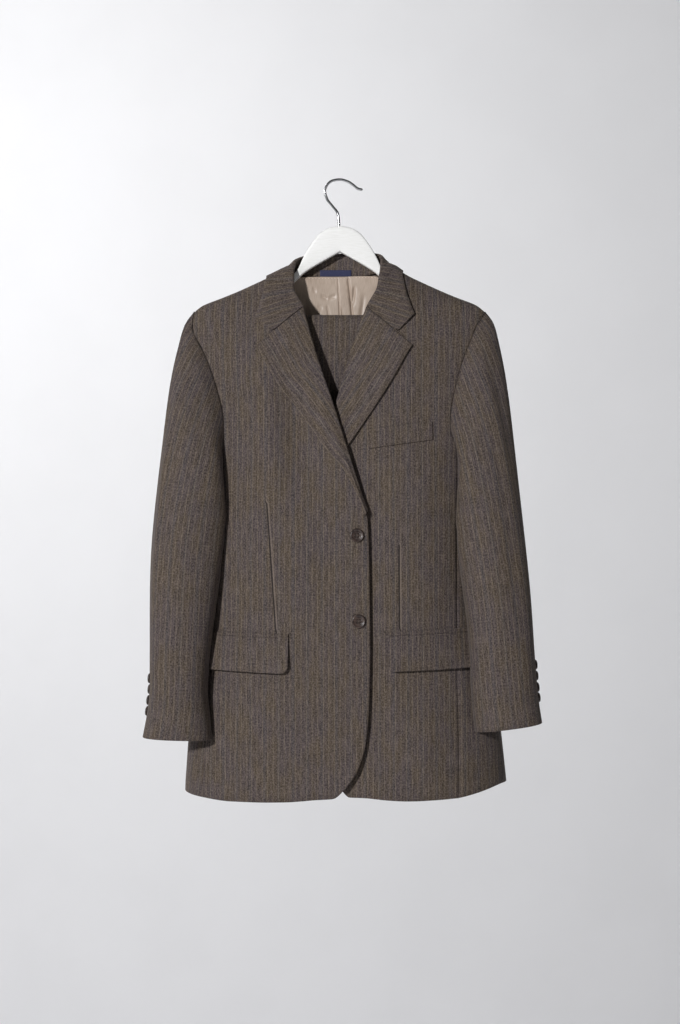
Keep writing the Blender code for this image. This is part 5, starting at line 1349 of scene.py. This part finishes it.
def hangerBoard():
    half = list(hangerForm["board"])
    for across, height in hangerForm["arm"]:
        top = shoulderHeight(across) - hangerForm["armDrop"] - 5.0 * float(smooth(197, 209, across))
        half.append((across, top, top - height))
    tops, bottoms = curveOf(half), curveOf(half, 2)
    spots = np.concatenate([np.linspace(0, 196, 80), 209 - 13 * np.cos(np.linspace(0, math.pi / 2, 14))[1:]])
    spots = np.concatenate([-spots[:0:-1], spots])
    turns = np.linspace(0, fullTurn, 32, endpoint=False)
    rings = []
    for x in spots:
        top, bottom = float(tops(abs(x))), float(bottoms(abs(x)))
        crest = min(max(abs(x) - 56, 0) / 40, 1)
        middleY = float(ringAt("sideY", shoulderHeight(max(abs(x), 62.5)))) * crest
        tall, thick = (top - bottom) / 2, hangerForm["thick"] / 2
        thick *= 1 - 0.45 * float(smooth(202, 209, abs(x)))
        soft = 2 / 5.0
        across = np.sign(np.cos(turns)) * np.abs(np.cos(turns)) ** soft * thick
        edge = np.sign(np.sin(turns)) * np.abs(np.sin(turns)) ** (2 / (2 + 0.35 * tall)) * tall
        rings.append(np.stack([np.full(32, x), middleY + across, (top + bottom) / 2 + edge], axis=-1))
    board = loft("hangerBoard", np.array(rings), [paintedWood])
    y, z = hangerForm["barCentre"]
    more = hangerForm["barHalf"]
    start, end = np.array([-more, y, z]), np.array([more, y, z])
    gap = np.array([seamGap, 0, 0])
    socket = hangerForm["barRadius"] + seamGap
    cutOut(board, rod("socketCutter", start - gap, end + gap, socket, 32, [paintedWood]))
    path = hangerForm["hookPath"]
    low = np.array([path[0][0], 0, path[0][1] - seamGap])
    high = np.array([path[1][0], 0, path[1][1] + 12])
    cutOut(board, rod("stemCutter", low, high, hangerForm["wireRadius"] + seamGap, 24, [paintedWood]))
    settle(board, ["hanger_board"])
    bar = rod("hangerBar", start, end, hangerForm["barRadius"], 40, [paintedWood])
    settle(bar, ["hanger_bar"])


def hangerHook():
    count = 120
    line = lineOf([(x, 0, z) for x, z in hangerForm["hookPath"]], count)
    rings = []
    for i, point in enumerate(line):
        axis = unit(line[min(i + 1, count - 1)] - line[max(i - 1, 0)])
        across = np.array([0.0, 1.0, 0.0])
        upward = np.cross(axis, across)
        near = min(i, count - 1 - i)
        size = hangerForm["wireRadius"] * (0.55, 0.85, 1.0)[min(near, 2)]
        rings.append(point + circle(across, upward, size, 24))
    made = loft("hangerHook", np.array(rings), [chromeWire])
    settle(made, ["hanger_hook"])


trouserForm = {
    "legHem": -700, "crotch": -520, "hipEnd": -735, "waistEnd": -771,
    "legWidths": ([0, 350, 483, 820], [215, 228, 242, 316]),
    "hipHeights": [-520.3, -560, -600, -650, -700, -735], "hipWidths": [318, 340, 356, 368, 376, 380],
    "waistWidths": (382, 384),
}


def overBar(radius):
    y0, z0 = hangerForm["barCentre"]
    low, end = trouserForm["legHem"], trouserForm["crotch"]
    front = [((y0 - radius, z), (-1.0, 0.0)) for z in np.linspace(low, z0, 41)[:-1]]
    arc = [((y0 - radius * math.cos(a), z0 + radius * math.sin(a)), (-math.cos(a), math.sin(a)))
           for a in np.linspace(0, math.pi, 33)]
    back = [((y0 + radius, z), (1.0, 0.0)) for z in np.linspace(z0, end, 31)[1:]]
    return front + arc + back


def flatTube(name, line, widths, centreX, halfDepth, thick, crease):
    # a flattened tube along a line: two layers with a pressed crease at each side
    turns = np.linspace(0, fullTurn, 64, endpoint=False)
    outer, inner, grain = [], [], []
    run = 0.0
    for i, (((y, z), (ny, nz)), width) in enumerate(zip(line, widths)):
        if i:
            run += math.hypot(y - line[i - 1][0][0], z - line[i - 1][0][1])
        for trim, rings in ((0, outer), (thick, inner)):
            half, deep = width / 2 - trim, halfDepth - trim
            x = np.cos(turns) * (half - 2) + np.sign(np.cos(turns)) * 2 * np.abs(np.cos(turns)) ** 12
            n = np.sign(np.sin(turns)) * np.minimum(np.abs(np.sin(turns)) * 9, 1) ** crease * deep
            rings.append(np.stack([centreX + x, y + ny * n, z + nz * n], axis=-1))
        grain.append(np.stack([centreX + np.cos(turns) * width / 2, np.full(64, run)], axis=-1))
    return tube(name, np.array(outer), np.array(inner), np.array(grain), [suitCloth])


def trousers():
    layer = cloth["trouser"] + 0.2
    innerRadius = hangerForm["barRadius"] + seamGap + layer
    outerRadius = innerRadius + 2 * layer + seamGap
    made = []
    width = Curve(*trouserForm["legWidths"])
    for name, radius in (("trouserLeg_left", innerRadius), ("trouserLeg_right", outerRadius)):
        line = overBar(radius)
        steps = [0.0] + [math.hypot(b[0] - a[0], b[1] - a[1]) for (a, _), (b, _) in zip(line, line[1:])]
        made.append(flatTube(name, line, width(np.cumsum(steps)), 0, layer, cloth["trouser"], 0.5))
    middle = (innerRadius + outerRadius) / 2
    depth = (outerRadius - innerRadius) / 2 + layer
    y = hangerForm["barCentre"][0] + middle
    heights = np.linspace(trouserForm["hipHeights"][0], trouserForm["hipEnd"], 40)
    widths = Curve(trouserForm["hipHeights"], trouserForm["hipWidths"])(heights)
    made.append(flatTube("trouserHips", [((y, z), (1.0, 0.0)) for z in heights], widths, 4, depth,
                         cloth["trouser"], 0.5))
    heights = np.linspace(trouserForm["hipEnd"] - seamGap, trouserForm["waistEnd"], 9)
    made.append(flatTube("trouserWaistband", [((y, z), (1.0, 0.0)) for z in heights],
                         np.linspace(*trouserForm["waistWidths"], 9), 4, depth + 1, 2.4, 0.5))
    return made


stitchForm = {
    # pitch, length and thickness of each stitch
    "pick": (4.6, 1.9, 1.1),  # the lining's hand pick stitches, really 0.5 mm thick
    "tack": (0.7, 1.0, 0.45),  # the bar tacks at the pockets' ends
    "seed": 7,
    # x and z of each pocket's ends
    "tacks": [(right, [(-72, -674), (-199, -671)]), (left, [(65, -671), (201, -666)])],
    "buttonThread": 0.32,  # radius
}


def stitchTree():
    # stitches set along a curve, each a small spindle that lies along it
    tree = bpy.data.node_groups.new("stitchesAlongSeam", "GeometryNodeTree")
    tree.is_modifier = True
    tree.interface.new_socket("Geometry", in_out="INPUT", socket_type="NodeSocketGeometry")
    sockets = {}
    for name, value in (("Stitch Pitch", 0.0046), ("Stitch Length", 0.0015), ("Thread Width", 0.0005)):
        socket = tree.interface.new_socket(name, in_out="INPUT", socket_type="NodeSocketFloat")
        socket.default_value = value
        sockets[name] = socket.identifier
    finish = tree.interface.new_socket("Thread", in_out="INPUT", socket_type="NodeSocketMaterial")
    sockets["Thread"] = finish.identifier
    tree.interface.new_socket("Geometry", in_out="OUTPUT", socket_type="NodeSocketGeometry")
    given = addNode(tree, "NodeGroupInput", {}, slice(None))
    line = addNode(tree, "GeometryNodeMeshToCurve", {"Mesh": given[0]})
    spaced = addNode(tree, "GeometryNodeCurveToPoints", {
        "mode": "LENGTH", "Curve": line, "Length": given[1]}, slice(None))
    stitch = addNode(tree, "GeometryNodeMeshUVSphere", {"Segments": 6, "Rings": 5, "Radius": 0.5})
    size = addNode(tree, "ShaderNodeCombineXYZ", {"X": given[3], "Y": given[3], "Z": given[2]})
    uneven = addNode(tree, "FunctionNodeRandomValue", {
        "data_type": "FLOAT", 2: 0.8, 3: 1.15, "Seed": stitchForm["seed"]}, 1)
    size = addNode(tree, "ShaderNodeVectorMath", {"operation": "SCALE", 0: size, "Scale": uneven})
    placed = addNode(tree, "GeometryNodeInstanceOnPoints", {
        "Points": spaced[0], "Instance": stitch, "Rotation": spaced[3], "Scale": size})
    plain = addNode(tree, "GeometryNodeRealizeInstances", {"Geometry": placed})
    dressed = addNode(tree, "GeometryNodeSetMaterial", {"Geometry": plain, "Material": given[4]})
    addNode(tree, "NodeGroupOutput", {0: dressed}, slice(None))
    return tree, sockets


def sewAlong(name, paths, kind, finish):
    # one piece of stitches along these paths, each a list of points in mm
    starts = np.cumsum([0] + [len(path) for path in paths])
    edges = [(a + i, a + i + 1) for a, path in zip(starts, paths) for i in range(len(path) - 1)]
    data = bpy.data.meshes.new(name + "Path")
    data.from_pydata((np.concatenate(paths) * 0.001).tolist(), edges, [])
    line = linked(name + "Path", data)
    sewing = line.modifiers.new("stitches", "NODES")
    sewing.node_group = stitches
    pitch, length, wide = stitchForm[kind]
    for key, value in (("Stitch Pitch", pitch), ("Stitch Length", length), ("Thread Width", wide)):
        sewing[stitchSockets[key]] = value * 0.001
    sewing[stitchSockets["Thread"]] = finish
    mesh = evaluatedMesh(line)
    line.modifiers.remove(sewing)
    bpy.data.objects.remove(line, do_unlink=True)
    mesh.name = name
    mesh.shade_smooth()
    settle(linked(name, mesh), [])


def threadLoops(name, loops):
    # the four-hole buttons' thread, as round bars through the holes
    data = bpy.data.curves.new(name, "CURVE")
    data.dimensions = "3D"
    data.bevel_depth = stitchForm["buttonThread"] * 0.001
    data.bevel_resolution = 2
    data.use_fill_caps = True
    for loop in loops:
        spline = data.splines.new("POLY")
        line = lineOf(loop, 16)
        spline.points.add(len(line) - 1)
        for point, place in zip(spline.points, line):
            point.co = (*(float(v) * 0.001 for v in place), 1.0)
    line = linked(name, data)
    mesh = evaluatedMesh(line)
    bpy.data.objects.remove(line, do_unlink=True)
    mesh.materials.clear()
    mesh.materials.append(thread)
    settle(linked(name, mesh), [])


stitches, stitchSockets = stitchTree()


threads = []
for side, word in sideWord.items():
    settle(frontPanel(side), ["front_" + word])
    settle(backPanel(side), ["back_" + word])
    settle(sidePanel(side), ["side_" + word])
    settle(lapel(side), ["lapel_" + word])
    topSleeve, underSleeve, coarse = sleevePair(side)
    settle(topSleeve, ["top_sleeve_" + word])
    settle(underSleeve, ["under_sleeve_" + word])
    normals = outwardNormals(coarse)
    column = sleeve["columns"] - 1
    for i, height in enumerate(buttonForm["cuffHeights"][side]):
        heights = coarse[:, column, 2]
        low = int(np.argmax(heights < height))
        share = (heights[low - 1] - height) / (heights[low - 1] - heights[low])
        place = coarse[low - 1, column] * (1 - share) + coarse[low, column] * share
        normal = unit(normals[low - 1, column] * (1 - share) + normals[low, column] * share)
        cuffButton("cuffButton_%s_%d" % (word, i + 1), "cuff_button_%s_%d" % (word, i + 1),
                   place + normal * (seamGap + 0.35), normal)
print("panels and sleeves made")
fall, standing = collar()
settle(fall, ["collar_fall"])
settle(standing, ["collar_stand"])
for name, (node, side, corners, layer, *shape) in laidPieces.items():
    settle(laidOnFront(name, side, corners, layer, *shape), [node])
liningMade, liningFace = lining()
settle(liningMade, ["back_lining"])
settle(neckLabel(), ["neck_label"])
pickRow = liningFace[0] * 0.2 + liningFace[1] * 0.8 - np.array([0, 0.35, 0])
sewAlong("liningStitches", [pickRow[(pickRow[:, 0] > -60) & (pickRow[:, 0] < 58)]], "pick", paleThread)
tacks = []
for side, ends in stitchForm["tacks"]:
    for x, z in ends:
        tack = np.array([(x - 1.6, z), (x + 1.6, z)])
        tack = np.concatenate([tack + (0, rise) for rise in (-1.8, -0.6, 0.6, 1.8)])
        face, normal = frontFace(tack[:, 0], tack[:, 1], side)
        tacks.append(face + normal * 0.45)
sewAlong("pocketTacks", tacks, "tack", thread)
print("collar, pockets and lining made")
for name, node, (x, z) in (("frontButton_1", "front_button_top", buttonForm["front"][0]),
                           ("frontButton_2", "front_button_low", buttonForm["front"][1])):
    threads += frontButton(name, node, x, z)
threadLoops("buttonThreads", threads)
hangerBoard()
hangerHook()
trouserCuts = [("trouser_leg_left", "leg"), ("trouser_leg_right", "leg"), ("trouser_hips", "hips"),
               ("trouser_waistband", "band")]
for made, (node, cut) in zip(trousers(), trouserCuts):
    settle(made, [node])
print("buttons, hanger and trousers made")


stageForm = {
    # y of the wall, z of the floor and of the wall's top, and how far both run to each side, in metres
    "wall": 3.4, "floor": -2.45, "top": 6, "reach": 9, "paper": ("f1f1f3", "efeff1"),
    "sky": "f2f2f2", "skyStrength": 0.075, "cameraPlace": (0, -2.6, -0.497), "lens": 60.9, "sensor": 36,
    # where each lamp stands, what it faces, its size and its power
    "key": ((-2.75, -5.2, 1.0), (0, 0, -0.5), 0.3, 285),
    "fill": ((3.0, -3.6, -0.4), (0, 0, -0.5), 2.4, 5),
    "wallLight": ((-1.7, 0.6, 0.9), (-0.6, 3.4, 0.2), 1.6, 56),
}


def stagePlane(name, corners):
    # seamless paper: matt, with the faint mottle of its fibres
    made = solidFinish(name + ", rolled paper", {"Roughness": 0.95, "Specular IOR Level": 0.1}, (3, 3, 3),
                       stageForm["paper"])
    mesh = bpy.data.meshes.new(name)
    mesh.from_pydata(corners, [], [tuple(range(len(corners)))])
    mesh.materials.append(made)
    linked(name, mesh)


def areaLight(name, place, target, size, power):
    data = bpy.data.lights.new(name, "AREA")
    data.size = size
    data.energy = power
    light = linked(name, data)
    light.location = place
    light.rotation_euler = (Vector(target) - Vector(place)).to_track_quat("-Z", "Y").to_euler()
    light.visible_camera = False


wallY, floorZ, topZ, aside = (stageForm[word] for word in ("wall", "floor", "top", "reach"))
stagePlane("wall", [(-aside, wallY, floorZ), (aside, wallY, floorZ), (aside, wallY, topZ),
                    (-aside, wallY, topZ)])
stagePlane("floor", [(-aside, -aside, floorZ), (aside, -aside, floorZ), (aside, wallY, floorZ),
                     (-aside, wallY, floorZ)])
for name, lamp in (("windowKey", "key"), ("roomFill", "fill"), ("wallLight", "wallLight")):
    areaLight(name, *stageForm[lamp])
world = bpy.data.worlds.new("paleRoom")
world.use_nodes = True
sky = world.node_tree.nodes["Background"].inputs
sky["Color"].default_value, sky["Strength"].default_value = linear(stageForm["sky"]), stageForm["skyStrength"]
bpy.context.scene.world = world
camera = linked("camera", bpy.data.cameras.new("camera"))
camera.location = stageForm["cameraPlace"]
camera.rotation_euler = (math.radians(90), 0, 0)
camera.data.lens, camera.data.sensor_width = stageForm["lens"], stageForm["sensor"]
bpy.context.scene.camera = camera
bpy.context.scene.view_settings.view_transform = "Standard"

print("stage, lights and camera set")
